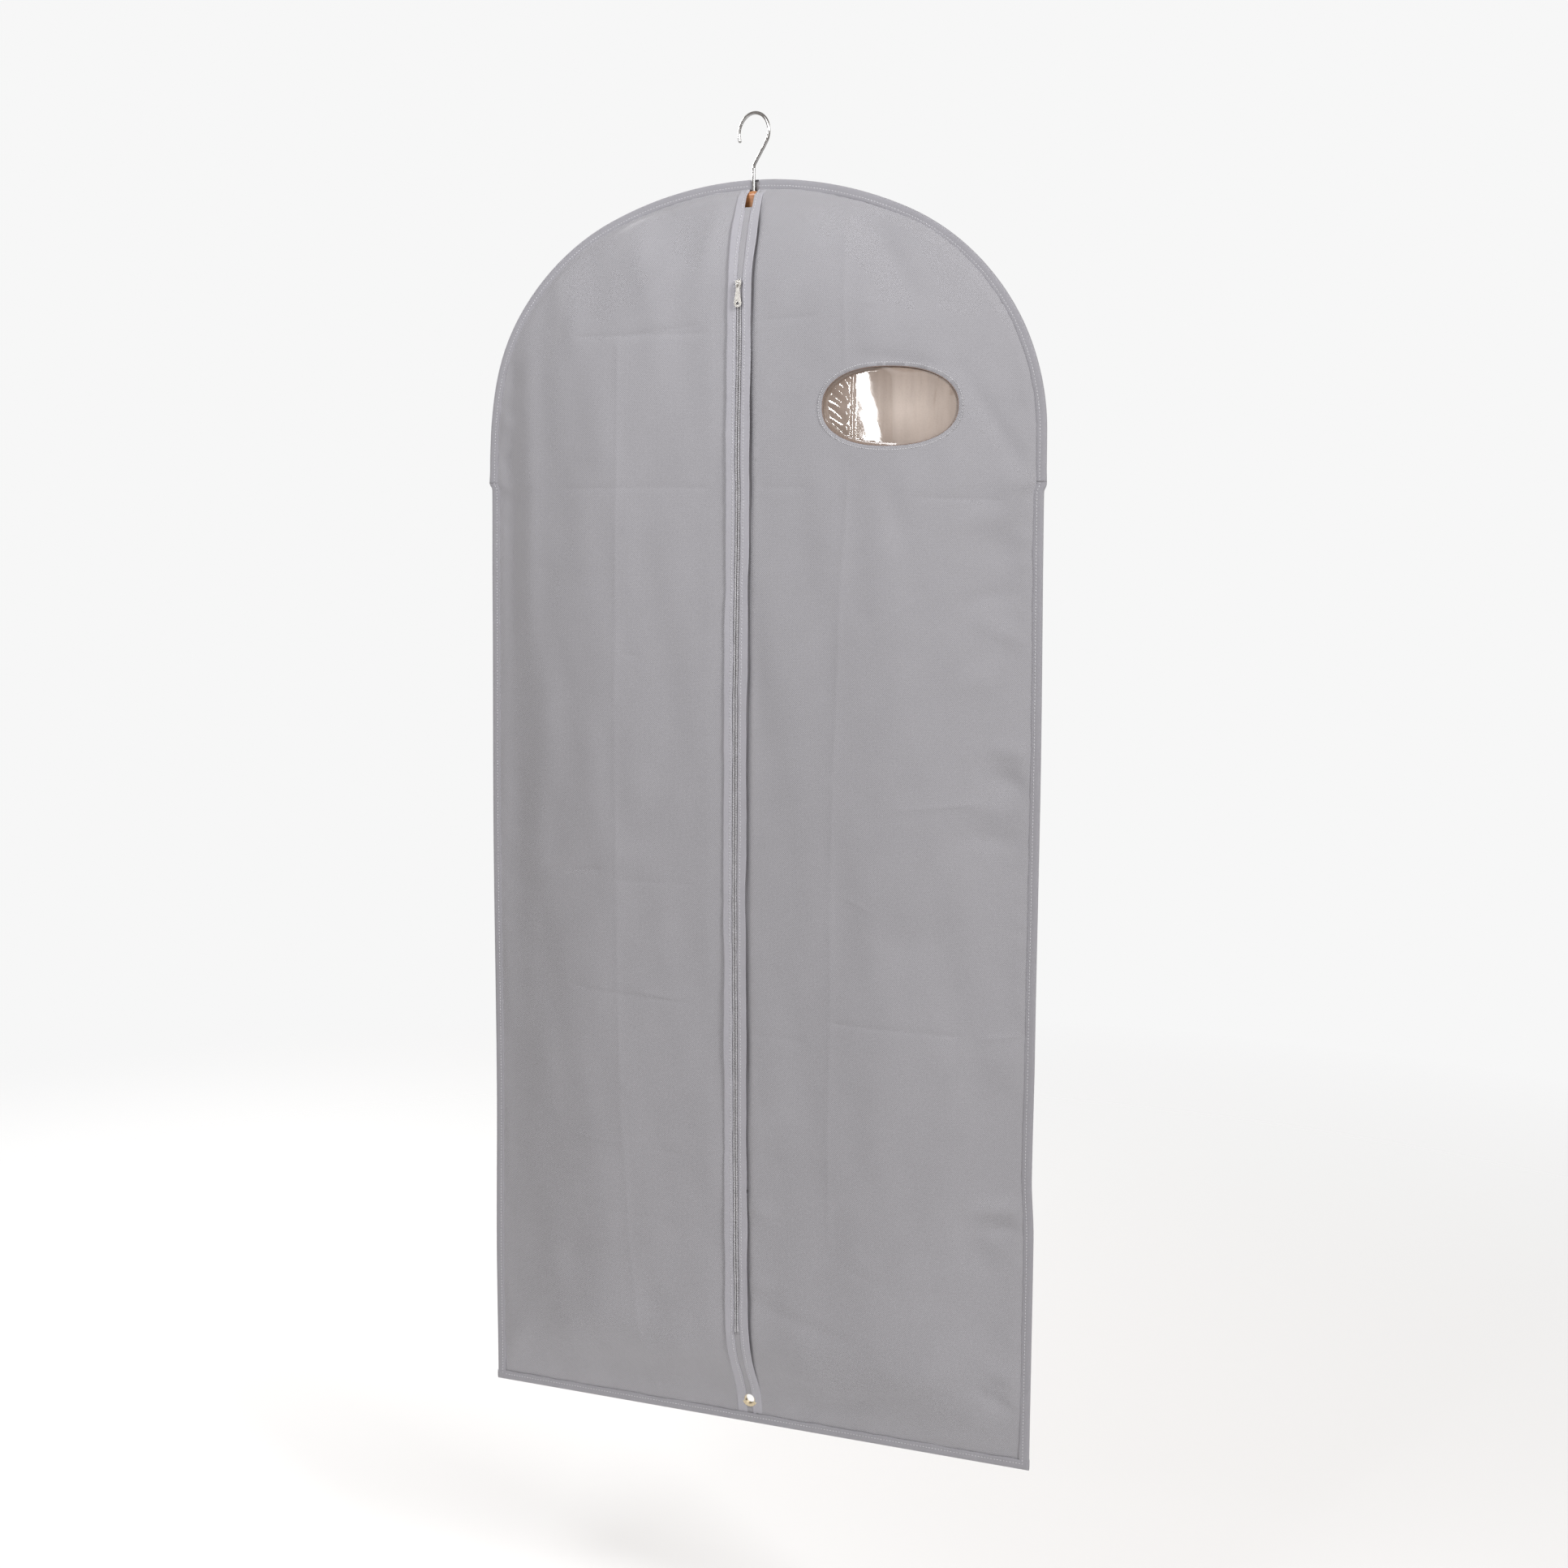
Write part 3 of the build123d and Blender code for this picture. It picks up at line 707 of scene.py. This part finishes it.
def clear_film(name):
    """Thin clear film with a warm cast, a little scuffed, lighter in its middle and darkened towards its edge
    by painted shade.
    """
    m = Nodes(name)
    x, _, z = m.axes()
    u = m.math("DIVIDE", m.math("SUBTRACT", x, (WIN_X + 14) * MM), 0.062)
    v = m.math("DIVIDE", m.math("SUBTRACT", z, (WIN_Z - 4) * MM), 0.040)
    # away is the distance from the film's lighter middle; the colour darkens outwards, which is painted shade
    # towards the window's edge
    away = m.math("SQRT", m.math("ADD", m.math("MULTIPLY", u, u), m.math("MULTIPLY", v, v)))
    scuff = m.noise(900, 3, 0.7)
    streak = m.noise(60, 3, 0.6, (1.0, 1.0, 0.12))
    tint_and_shade = m.mix(m.spread(away, 0.1, 1.25), rgb(208, 192, 181), rgb(150, 131, 118))
    tint_and_shade = m.mix(m.spread(streak, 0.45, 0.75, 0.0, 0.45), tint_and_shade, rgb(146, 130, 120))
    tint_and_shade = m.mix(m.spread(scuff, 0.5, 0.8, 0.0, 0.25), tint_and_shade, rgb(120, 106, 98))
    m.set(Base_Color=tint_and_shade, Roughness=m.spread(scuff, 0.3, 0.8, 0.30, 0.42))
    m.set(Alpha=m.spread(streak, 0.3, 0.7, 0.90, 0.80))
    m.set(Normal=m.bump(streak, 0.00002, 0.3))
    m.set(Coat_Weight=1.0, Coat_Roughness=0.03, Coat_IOR=1.7)
    return m.material


cloth = nonwoven("cloth_grey", rgb(172, 171, 176))
cloth_back = nonwoven("cloth_back", rgb(170, 168, 171))
tape_cloth = nonwoven("binding_grey", rgb(162, 161, 167), 0.0019, 0.00010, 0.08)
# the strips' cloth is a lighter copy of the panels' cloth: painted light, for strips that catch more light
# than the panels
facing_cloth_painted_light = nonwoven("facing_grey_painted_light", rgb(180, 179, 186), 0.0021, 0.00010, 0.06)
thread = spun("thread_pale", rgb(214, 214, 218))
zip_cloth = woven("zip_tape_grey", rgb(184, 183, 188))
coil_plastic = moulded("coil_grey", rgb(206, 205, 209))
film = clear_film("window_clear")
nickel = plated("nickel_satin", rgb(212, 209, 204), 0.30)
eyelet_metal = plated("eyelet_pale", rgb(226, 210, 178), 0.26)
chrome = plated("hook_chrome", rgb(214, 214, 214), 0.16, (1, 1, 0.05))
wood = timber("hanger_wood")
edge_brown = woven("window_edge_brown", rgb(150, 128, 118))

# ---------------------------------------------------------------- panels
SPLIT = 7.2              # the front cloth starts this far from the zip line
EDGE = 1.6               # the cloth ends this far inside the binding's edge
outline_line = arch_line(EDGE)


def fold_lines(side):
    """Lines where the net of a panel has to be fine: the valley beside the strip, and the pressed folds."""
    tall = np.linspace(BOTTOM + 3, TOP - 3, 420)
    lines = [np.stack([np.full(420, side * c), tall], 1) for c in (11.8, 16.6)]
    for (x0, d0), (x1, d1), *_ in FOLDS:
        if (x0 + x1) / 2 * side > 0:
            lines.append(resampled([(x0, TOP - d0), (x1, TOP - d1)], 3.0))
    return lines


def front_panel(name, side, nodes):
    """The front cloth on one side of the zip; the right one has the window cut in it."""
    arch = resampled(outline_line[outline_line[:, 0] * side >= SPLIT], 3.4)
    top_end, low_end = (arch[0], arch[-1]) if side > 0 else (arch[-1], arch[0])
    apex_z = float(top_end[1])
    inner = resampled([(side * SPLIT, BOTTOM + EDGE), (side * SPLIT, apex_z)], 3.4)
    foot = resampled([low_end, (side * SPLIT, BOTTOM + EDGE)], 3.4)
    if side > 0:
        loop = np.concatenate([arch[:-1], foot[:-1], inner[:-1]])
    else:
        loop = np.concatenate([foot[::-1][:-1], arch[:-1], inner[::-1][:-1]])
    holes = [oval(0, 130)] if side > 0 else []

    def keep(x, z):
        d = np.minimum(np.minimum(arch_inset(x, z), z - BOTTOM) - EDGE, side * x - SPLIT)
        if side > 0:
            d = np.minimum(d, oval_distance(x, z))
        return d

    p, f = triangulated(loop, holes, keep, 4.4, fold_lines(side))
    x, z = p[:, 0], p[:, 1]
    piece = new_object(name, on_bag(x, front_y(x, z), z), f)
    thicken(piece, PANEL_THICK)
    finish_piece(piece, "bag", cloth, nodes)
    area = 0.5 * abs(np.cross(p[f[:, 1]] - p[f[:, 0]], p[f[:, 2]] - p[f[:, 0]])).sum() * 1.03e-6
    area = min(area, BAG_WIDTH / 2 * BAG_LENGTH)


front_panel("front_cloth_left", -1, ["front_panel_left"])
front_panel("front_cloth_right", 1, ["front_panel_right"])

foot = resampled([outline_line[-1], outline_line[0]], 3.6)
loop = np.concatenate([resampled(outline_line, 3.6)[:-1], foot[:-1]])
eye_turns = np.linspace(0, 2 * math.pi, 28)[:-1]
eye_ring = np.array([(EYE_R * math.cos(a), EYE_Z + EYE_R * math.sin(a)) for a in eye_turns])
p, f = triangulated(
    loop, [eye_ring],
    lambda x, z: np.minimum(inset(x, z) - EDGE, np.hypot(x, z - EYE_Z) - EYE_R), 5.0,
)
x, z = p[:, 0], p[:, 1]
back = new_object("back_cloth", on_bag(x, back_y(x, z), z), f[:, ::-1])
thicken(back, PANEL_THICK)
finish_piece(back, "bag", cloth_back, ["back_panel"])

# ---------------------------------------------------------------- cloth between the strips
def placket(name, z_low, z_high, hole, node):
    half = SPLIT + 1.8
    corners = [(-half, z_low), (half, z_low), (half, z_high), (-half, z_high), (-half, z_low)]
    loop = np.concatenate([resampled([a, b], 2.4)[:-1] for a, b in zip(corners[:-1], corners[1:])])
    holes = [eye_ring] if hole else []

    def keep(x, z):
        d = np.minimum(half - np.abs(x), np.minimum(z - z_low, z_high - z))
        return np.minimum(d, np.hypot(x, z - EYE_Z) - EYE_R) if hole else d

    p, f = triangulated(loop, holes, keep, 2.6)
    x, z = p[:, 0], p[:, 1]
    fold = 0.45 * np.exp(-np.abs(x - 1.4) / 0.6) + 0.35 * np.exp(-np.abs(x + 1.2) / 0.6)
    live = np.clip((z - BOTTOM - 40) / 20, 0, 1)
    y = front_y(np.zeros_like(x), z) + 0.35 - fold * live - 0.1 * np.sin(z / 6.5 + x / 3) * live
    piece = new_object(name, on_bag(x, y, z), f)
    thicken(piece, STRIP_THICK)
    finish_piece(piece, "bag", cloth, [node])


placket("placket_cloth_top", ZIP_TOP - 1, SLOT_LOW, False, "placket_top")
placket("placket_cloth_bottom", BOTTOM + EDGE, ZIP_LOW + 1, True, "placket_bottom")


# ---------------------------------------------------------------- strips of folded cloth beside the zip
def strip_edges(side, z):
    """Where a strip's inner and outer edge run, as x for a height."""
    drop = TOP - z
    near = steps(drop, [(0, 4.6), (28, 4.6), (40, 3.2), (1400, 3.1)])
    near = near + 0.25 * wobble(z, 21 + side, 60.0)
    hole = np.sqrt(np.maximum(6.4**2 - (z - EYE_Z) ** 2, 0))
    near = np.maximum(near, hole)
    wide = steps(drop, [(0, 11.0), (60, 11.2), (110, 10.4), (880, 9.8), (1140, 10.2), (1350, 11.2)])
    far = near * 0 + 3.1 + wide + 0.45 * wobble(z, 31 + side, 110.0)
    return side * near, side * far


def facing(name, side, node):
    """A strip of folded cloth beside the zip, with its row of stitches."""
    z = np.linspace(BOTTOM + BIND - 1.5, TOP - BIND + 2.5, 512)
    near, far = strip_edges(side, z)
    live = np.clip((z - BOTTOM - 40) / 50, 0, 1) * np.clip((TOP - z - 14) / 30, 0, 1)
    rows = []
    count = 11
    stand = (1.3 if side > 0 else 0.35) * live * (0.8 + 0.25 * wobble(z, 40 + side, 140.0))
    wave = 0.16 * wobble(z, 50 + side, 23.0) * live
    tuck = 0.35 + 0.65 * np.clip((TOP - BIND - z) / 8, 0, 1) * np.clip((z - BOTTOM - BIND) / 5, 0, 1)
    base = front_y(np.zeros_like(z), z)
    sew = 0.24 if side < 0 else 0.28
    for lower in (False, True):
        for j in range(count):
            t = j / (count - 1)
            if lower:
                t = 1 - t
            x = near + (far - near) * t
            if t < sew:
                crown = 0.7 * math.sin(math.pi * t / sew) ** 0.6
            else:
                crown = 0.9 * max(math.sin(math.pi * (t - sew) / (1 - sew)), 0.0) ** 0.7
            lift = (0.42 + stand * t**3 + wave * t + 0.24 * crown) * tuck
            thick = 0.25 if t in (0, 1) else 0.7
            y = base - lift + (thick if lower else 0)
            rows.append(on_bag(x, y, z))
    rows = np.stack(rows, 1)
    verts, faces = swept(rows, closed_across=True)
    m = rows.shape[1]
    n = len(z)
    faces += [tuple(range(m))[::-1], tuple(range((n - 1) * m, n * m))]
    if side < 0:
        faces = [f[::-1] for f in faces]
    piece = new_object(name, verts, faces)
    finish_piece(piece, "bag", facing_cloth_painted_light, [node])
    at = sew + 0.02
    top = base - 0.5 * tuck - stand * at**3 - wave * at
    keep = z > EYE_Z + 11
    x = near + (far - near) * at
    line = on_bag(x, top, z)[keep]
    out = np.tile([0.0, -1.0, 0.0], (len(line), 1))
    sewn = stitches(name + "_stitches", line, out)
    finish_piece(sewn, "bag", thread, ["facing_thread_" + ("right" if side > 0 else "left")])


facing("strip_left", -1, "zip_facing_left")
facing("strip_right", 1, "zip_facing_right")

# ---------------------------------------------------------------- zip tapes and coils
TAPE_Y = float(zip_hi[1])
TEETH = 856              # a whole number of teeth in the slider's travel
for side, word in ((-1, "left"), (1, "right")):
    z = np.linspace(ZIP_LOW - 2.5, ZIP_TOP + 0.3, 290)
    across = [0.55, 1.0, 2.4, 3.2, 5.5, 8.0, 11.0, 13.8]
    rows = []
    for c in across:
        x = np.full_like(z, side * c)
        flat_y = np.full_like(z, TAPE_Y + (0.18 if c == 3.2 else 0.3))
        y = flat_y if c < 3 else np.maximum(flat_y, front_y(x, z) + 0.8)
        rows.append(on_bag(x, y, z))
    rows = np.stack(rows, 1)
    verts, faces = swept(rows)
    tape = new_object("tape_" + word, verts, [f[::-1] if side < 0 else f for f in faces])
    thicken(tape, TAPE_THICK)
    finish_piece(tape, "bag", zip_cloth, ["zip_tape_" + word])

    pitch = TRAVEL / TEETH
    z = np.arange(ZIP_LOW + 0.8, ZIP_TOP - 0.8, pitch) + (pitch / 2 if side > 0 else 0)
    loop = [(math.cos(a), math.sin(a)) for a in np.linspace(0, 2 * math.pi, 9)[:-1]]
    ends = [(0.42, 0.40, 0.60), (0.62, 0.66, 0.78), (1.3, 0.62, 0.76), (2.0, 0.60, 0.70), (2.3, 0.40, 0.5)]
    verts = []
    for c, r_z, r_y in ends:
        for u, v in loop:
            verts.append((side * c, -0.88 - v * r_y, u * r_z))
    faces = tube_faces(len(ends), len(loop))
    if side < 0:
        faces = [f[::-1] for f in faces]
    local = np.array(verts)
    all_verts = np.repeat(local[None], len(z), 0)
    all_verts[:, :, 2] += z[:, None]
    all_verts[:, :, 1] += TAPE_Y
    all_verts[:, :, 0] += bow(np.zeros(len(z)), z)[:, None]
    coil = new_object("coil_" + word, all_verts.reshape(-1, 3), repeated(faces, len(local), len(z)))
    finish_piece(coil, "bag", coil_plastic, ["zip_coil_" + word])


# ---------------------------------------------------------------- binding round the edge
def rim(step):
    """The outline as points, with the way inwards at each, from the lower left corner over the top."""
    line = resampled(arch_line(0.0), step)
    d = np.gradient(line, axis=0)
    n = np.stack([d[:, 1], -d[:, 0]], 1)
    n /= np.hypot(*n.T)[:, None]
    return line, n


# the folded strip's front leg: how far in from the edge, and how far off the seam plane
U_FOLD = [
    (BIND, 1.25), (BIND - 0.5, 1.75), (7.6, 1.9), (6.6, 1.72), (5.4, 1.95), (2.4, 1.85), (1.0, 1.5),
    (0.25, 0.8), (0.0, 0.0),
]
PROUD = 0.25             # the arch and the foot lie over the sides' binding


def binding(name, line, inward, node, seed, proud=0.0, back_only=False):
    """A strip folded over the edge, or just its back leg, where the hook's stem passes."""
    run = run_along(line)
    front = [(i, -y) for i, y in U_FOLD]
    back = [(i, y) for i, y in U_FOLD[:-1]][::-1]
    profile = [(0.3, -0.6), (0.0, 0.0)] + back if back_only else front + back
    rows = []
    for i, y in profile:
        deep = i / BIND
        pucker = 0.22 * wobble(run, seed, 16.0) * deep + 0.3 * wobble(run, seed + 5, 90.0) * deep
        inset_now = np.where(i > 8, i + 0.35 * wobble(run, seed + 9, 45.0), i + 0 * run)
        p = line + inward * inset_now[:, None]
        side = -1 if y < 0 else 1
        away = y + side * (proud + 0.5 * np.abs(pucker)) if y else 0 * run
        rows.append(on_bag(p[:, 0], SEAM + away + 0 * run, p[:, 1]))
    rows = np.stack(rows, 1)
    verts, faces = swept(rows)
    piece = new_object(name, verts, faces)
    thicken(piece, BINDING_THICK)
    finish_piece(piece, "bag", tape_cloth, [node])


line, inward = rim(2.4)
top_part = line[:, 1] > JOINT - 2
arch = line[top_part]
arch_in = inward[top_part]
# the front leg is left out where the hook's stem passes
STEM_LEFT, STEM_RIGHT = -2.0, 2.6
left_part = arch[:, 0] < STEM_LEFT
right_part = arch[:, 0] > STEM_RIGHT
mid = np.flatnonzero(~(left_part | right_part))
mid = np.arange(mid[0] - 1, mid[-1] + 2)
binding("binding_arch_left", arch[left_part], arch_in[left_part], "binding_top", 2, PROUD)
binding("binding_arch_right", arch[right_part], arch_in[right_part], "binding_top", 3, PROUD)
binding("binding_arch_middle", arch[mid], arch_in[mid], "binding_top", 4, PROUD, back_only=True)
for side, word in ((-1, "left"), (1, "right")):
    low = (line[:, 1] < JOINT + 3) & (line[:, 0] * side > 0) & (line[:, 1] > BOTTOM + 1.2)
    binding("binding_side_cloth_" + word, line[low], inward[low], "binding_side_" + word, 6 + side)
foot_line = resampled([(HALF, BOTTOM), (-HALF, BOTTOM)], 2.4)
foot_in = np.tile([0.0, 1.0], (len(foot_line), 1))
binding("binding_foot", foot_line, foot_in, "binding_bottom", 9, PROUD)

SEW = 6.6                # the stitch line's distance from the edge
THREAD_OFF = 2.05        # and from the seam plane
whole = resampled(arch_line(SEW), 2.0)
base = resampled([(HALF - SEW, BOTTOM + SEW), (-HALF + SEW, BOTTOM + SEW)], 2.0)
sewing = np.concatenate([whole, base[1:]])
at_stem = np.flatnonzero((np.abs(sewing[:, 0]) < 3.4) & (sewing[:, 1] > TOP - 40))
for sign, word in ((-1, "front"), (1, "back")):
    runs = [sewing[: at_stem[0]], sewing[at_stem[-1] + 1:]] if sign < 0 else [sewing]
    for k, q in enumerate(runs):
        run3 = on_bag(q[:, 0], np.full(len(q), SEAM + sign * THREAD_OFF), q[:, 1])
        out = np.tile([0.0, float(sign), 0.0], (len(q), 1))
        sewn = stitches("binding_stitches_" + word + "_" + str(k), run3, out)
        finish_piece(sewn, "bag", thread, ["binding_thread_" + word])

# ---------------------------------------------------------------- window
WINDOW_SEW = 4.1         # the stitch line's distance outside the window's edge
STITCH_LIFT = 0.5


def oval_line(grow, step):
    """The window's edge as a closed line with its first point again at its end."""
    ring = oval(grow, 400)
    return resampled(np.concatenate([ring, ring[:1]]), step)


ring = oval_line(WINDOW_SEW, 1.5)
x, z = ring[:, 0], ring[:, 1]
line3 = on_bag(x, front_y(x, z) - STITCH_LIFT, z)
sewn = stitches("window_stitches", line3, np.tile([0.0, -1.0, 0.0], (len(line3), 1)), pitch=2.8)
finish_piece(sewn, "bag", thread, ["window_thread"])

ROLL = 0.45              # the radius of the window's turned edge
rim_line = oval_line(0, 1.6)[:-1]
outward = rim_line - [WIN_X, WIN_Z]
rows = []
for a in np.linspace(0, 2 * math.pi, 9)[:-1]:
    grow = ROLL * math.cos(a)
    p = rim_line + outward / np.hypot(*outward.T)[:, None] * grow
    x, z = p[:, 0], p[:, 1]
    rows.append(on_bag(x, front_y(x, z) + ROLL * math.sin(a), z))
rows = np.stack(rows, 1)
rows = np.concatenate([rows, rows[:1]])
verts, faces = swept(rows, closed_across=True)
edging = new_object("window_edge", verts, faces)
finish_piece(edging, "bag", edge_brown)

lap = oval(WIN_LAP, 150)
tall = np.linspace(WIN_Z - 44, WIN_Z + 44, 60)
crease = [np.stack([np.full(60, WIN_X + c), tall], 1) for c in (-37.5, 43.0)]
p, f = triangulated(lap, [], lambda x, z: WIN_LAP - oval_distance(x, z), 1.9, crease)
x, z = p[:, 0], p[:, 1]
u, v = x - WIN_X, z - WIN_Z
# the film is crumpled left of a crease, and bends in a few upright ridges elsewhere
wavy = np.clip((-40.0 - u) / 4.0, 0, 1)
crumple = 0.15 * wavy * np.sin((v + 0.5 * u + 2.0 * np.sin(u / 8.0)) / 2.5)
crumple += 0.05 * wavy * np.sin(u / 4.0 + v / 11.0)
crumple += 0.5 * np.exp(-((u + 37.5) / 0.9) ** 2) + 0.12 * np.exp(-((u + 43.5) / 3.0) ** 2)
crumple += 0.55 * np.exp(-((u - 43 - 0.16 * v) / 2.2) ** 2) - 0.4 * np.exp(-((u - 36 - 0.16 * v) / 2.0) ** 2)
crumple += 0.35 * np.exp(-((u - 26 - 0.1 * v) / 1.8) ** 2) + 0.4 * np.exp(-((u - 55 - 0.3 * v) / 3.0) ** 2)
crumple += 0.002 * np.sin(u / 2.3 + v / 3.1) + 0.003 * np.sin(u / 4.1 - v / 2.7)
within = -oval_distance(x, z)
crumple *= np.clip(within / 3.0, 0, 1)
behind = SEAM - swell_front(x, z) - relief(x, z) * np.clip(1 - within / 9.0, 0, 1) + 0.9
w = np.clip(within / 2.0, 0, 1)
softened = 0.5 * (behind + PANE_Y + np.sqrt((behind - PANE_Y) ** 2 + 1.6))
y = behind * (1 - w) + softened * w
pane = new_object("window_pane", on_bag(x, y - crumple, z), f)
thicken(pane, FILM_THICK)
finish_piece(pane, "bag", film, ["window_film"])

# ---------------------------------------------------------------- finishes of the CAD parts that stay
for node, material in (
    ("hanger_hook", chrome), ("hanger_body", wood), ("slider_body", nickel), ("slider_bridge", nickel),
    ("pull_tab", nickel), ("eyelet", eyelet_metal), ("eyelet_washer", eyelet_metal),
):
    obj = frame["nodes"][node]
    obj.data.materials.clear()
    obj.data.materials.append(material)

# ---------------------------------------------------------------- camera, light and floor
def look(azimuth, aim_turn, distance, height, pitch, roll):
    """A camera's placing: where it stands round the hook, how far off and how high, and how it is turned."""
    a, t = math.radians(azimuth), math.radians(azimuth + aim_turn)
    p, r = math.radians(pitch), math.radians(roll)
    place = Vector((distance * math.sin(a), -distance * math.cos(a), height))
    forward = Vector((-math.sin(t) * math.cos(p), math.cos(t) * math.cos(p), -math.sin(p)))
    right = Vector((math.cos(t), math.sin(t), 0))
    up = right.cross(forward)
    right, up = right * math.cos(r) + up * math.sin(r), up * math.cos(r) - right * math.sin(r)
    m = Matrix((right, up, -forward)).transposed().to_4x4()
    m.translation = place
    return m


camera = bpy.data.objects.new("camera", bpy.data.cameras.new("camera"))
bpy.context.scene.collection.objects.link(camera)
camera.matrix_world = look(
    azimuth=21.532, aim_turn=-0.928, distance=2.112, height=-0.425, pitch=5.037, roll=0.27,
)
camera.data.sensor_width = 36.0
camera.data.lens = 45.43
camera.data.shift_y = -0.055
camera.data.clip_end = 60
bpy.context.scene.camera = camera
bpy.context.scene.view_settings.view_transform = "Standard"


def area_light(name, place, target, size, power, colour=(1, 1, 1)):
    data = bpy.data.lights.new(name, "AREA")
    data.shape = "RECTANGLE"
    data.size, data.size_y = size
    data.energy = power
    data.color = colour
    light = bpy.data.objects.new(name, data)
    bpy.context.scene.collection.objects.link(light)
    light.location = place
    light.rotation_euler = (Vector(target) - Vector(place)).to_track_quat("-Z", "Y").to_euler()
    light.visible_camera = False
    return light


area_light("key", (3.0, -1.5, 1.2), (0, 0, -0.6), (0.9, 1.6), 74)
area_light("upper", (-0.3, -1.1, 0.5), (-0.15, 0, 0.1), (0.5, 0.5), 8, (0.95, 0.97, 1.0))
area_light("front", (0.6, -3.2, 0.4), (0, 0, -0.7), (2.4, 2.4), 15)
area_light("rear", (-2.9, 1.3, 1.1), (0, 0, -0.6), (0.7, 1.2), 130)
area_light("rear_soft", (0.8, 3.2, 0.2), (0, 0, -0.7), (2.0, 2.2), 16)


STREAK_POWER = 25        # in W for each m of a light's width
STREAK_AWAY = 2.56       # how far in front of the film, in m, the lights that streak it stand


def mirrored(x, z):
    """Where a light has to be for the camera to see it mirrored at a point of the film."""
    eye = camera.matrix_world.translation
    film_y = PANE_Y * MM
    point = Vector((x * MM, film_y, z * MM))
    image = Vector((eye.x, 2 * film_y - eye.y, eye.z))
    ray = point - image
    return point + ray * (STREAK_AWAY / -ray.y)


for word, high_u, low_u, high_v, low_v, wide in (
    ("a", -33.5, -15, 40, -40, 0.020), ("b", -32.5, -7, 40, -40, 0.020),
    ("c", -31.5, 1, 40, -40, 0.020), ("d", -30.5, 8, 40, -40, 0.020), ("e", -44, -52, 24, -36, 0.045),
):
    high = mirrored(WIN_X + high_u, WIN_Z + high_v)
    low = mirrored(WIN_X + low_u, WIN_Z + low_v)
    high, low = high + (high - low) * 0.1, low + (low - high) * 0.1
    mid = (high + low) / 2
    size = (wide, (high - low).length)
    strip = area_light("streak_" + word, mid, (WIN_X * MM, 0, WIN_Z * MM), size, STREAK_POWER * wide)
    back = (mid - Vector((WIN_X * MM, PANE_Y * MM, WIN_Z * MM))).normalized()
    up = (high - low).normalized()
    across = up.cross(back).normalized()
    strip.matrix_world = Matrix((across, up, across.cross(up))).transposed().to_4x4()
    strip.location = mid

SKY_LIGHT, SKY_SEEN = 0.29, 0.93   # the sky's strength as light, and as the camera sees it
world = bpy.data.worlds.new("studio")
bpy.context.scene.world = world
world.use_nodes = True
tree = world.node_tree
seen = tree.nodes.new("ShaderNodeLightPath").outputs["Is Camera Ray"]
shine = tree.nodes.new("ShaderNodeMapRange")
tree.links.new(seen, shine.inputs["Value"])
shine.inputs["To Min"].default_value = SKY_LIGHT
shine.inputs["To Max"].default_value = SKY_SEEN
tree.links.new(shine.outputs[0], tree.nodes["Background"].inputs["Strength"])
warm = tree.nodes.new("ShaderNodeMix")
warm.data_type = "RGBA"
tree.links.new(seen, warm.inputs["Factor"])
warm.inputs[6].default_value = (1.0, 0.925, 0.87, 1)
warm.inputs[7].default_value = (1, 1, 1, 1)
tree.links.new(warm.outputs[2], tree.nodes["Background"].inputs["Color"])

mesh = bpy.data.meshes.new("floor")
FLOOR_BELOW = 0.30       # how far, in m, the floor is below the bag
low = BOTTOM * MM - FLOOR_BELOW
rings, spokes, reach = 24, 96, 3.4
verts = [(0, 0, low)]
for i in range(1, rings + 1):
    for j in range(spokes):
        a = 2 * math.pi * j / spokes
        verts.append((reach * i / rings * math.cos(a), reach * i / rings * math.sin(a), low))
faces = [(0, 1 + j, 1 + (j + 1) % spokes) for j in range(spokes)]
for i in range(rings - 1):
    for j in range(spokes):
        k = (j + 1) % spokes
        a, b = 1 + i * spokes, 1 + (i + 1) * spokes
        faces.append((a + j, b + j, b + k, a + k))
mesh.from_pydata(verts, [], faces)
floor = bpy.data.objects.new("floor", mesh)
bpy.context.scene.collection.objects.link(floor)
m = Nodes("floor_pale")
x, y, z = m.axes()
far = m.math("SQRT", m.math("ADD", m.math("MULTIPLY", x, x), m.math("MULTIPLY", y, y)))
m.set(Base_Color=rgb(240, 240, 240), Roughness=0.9, Alpha=m.spread(far, 0.5, reach * 0.9, 1.0, 0.0))
floor.data.materials.append(m.material)
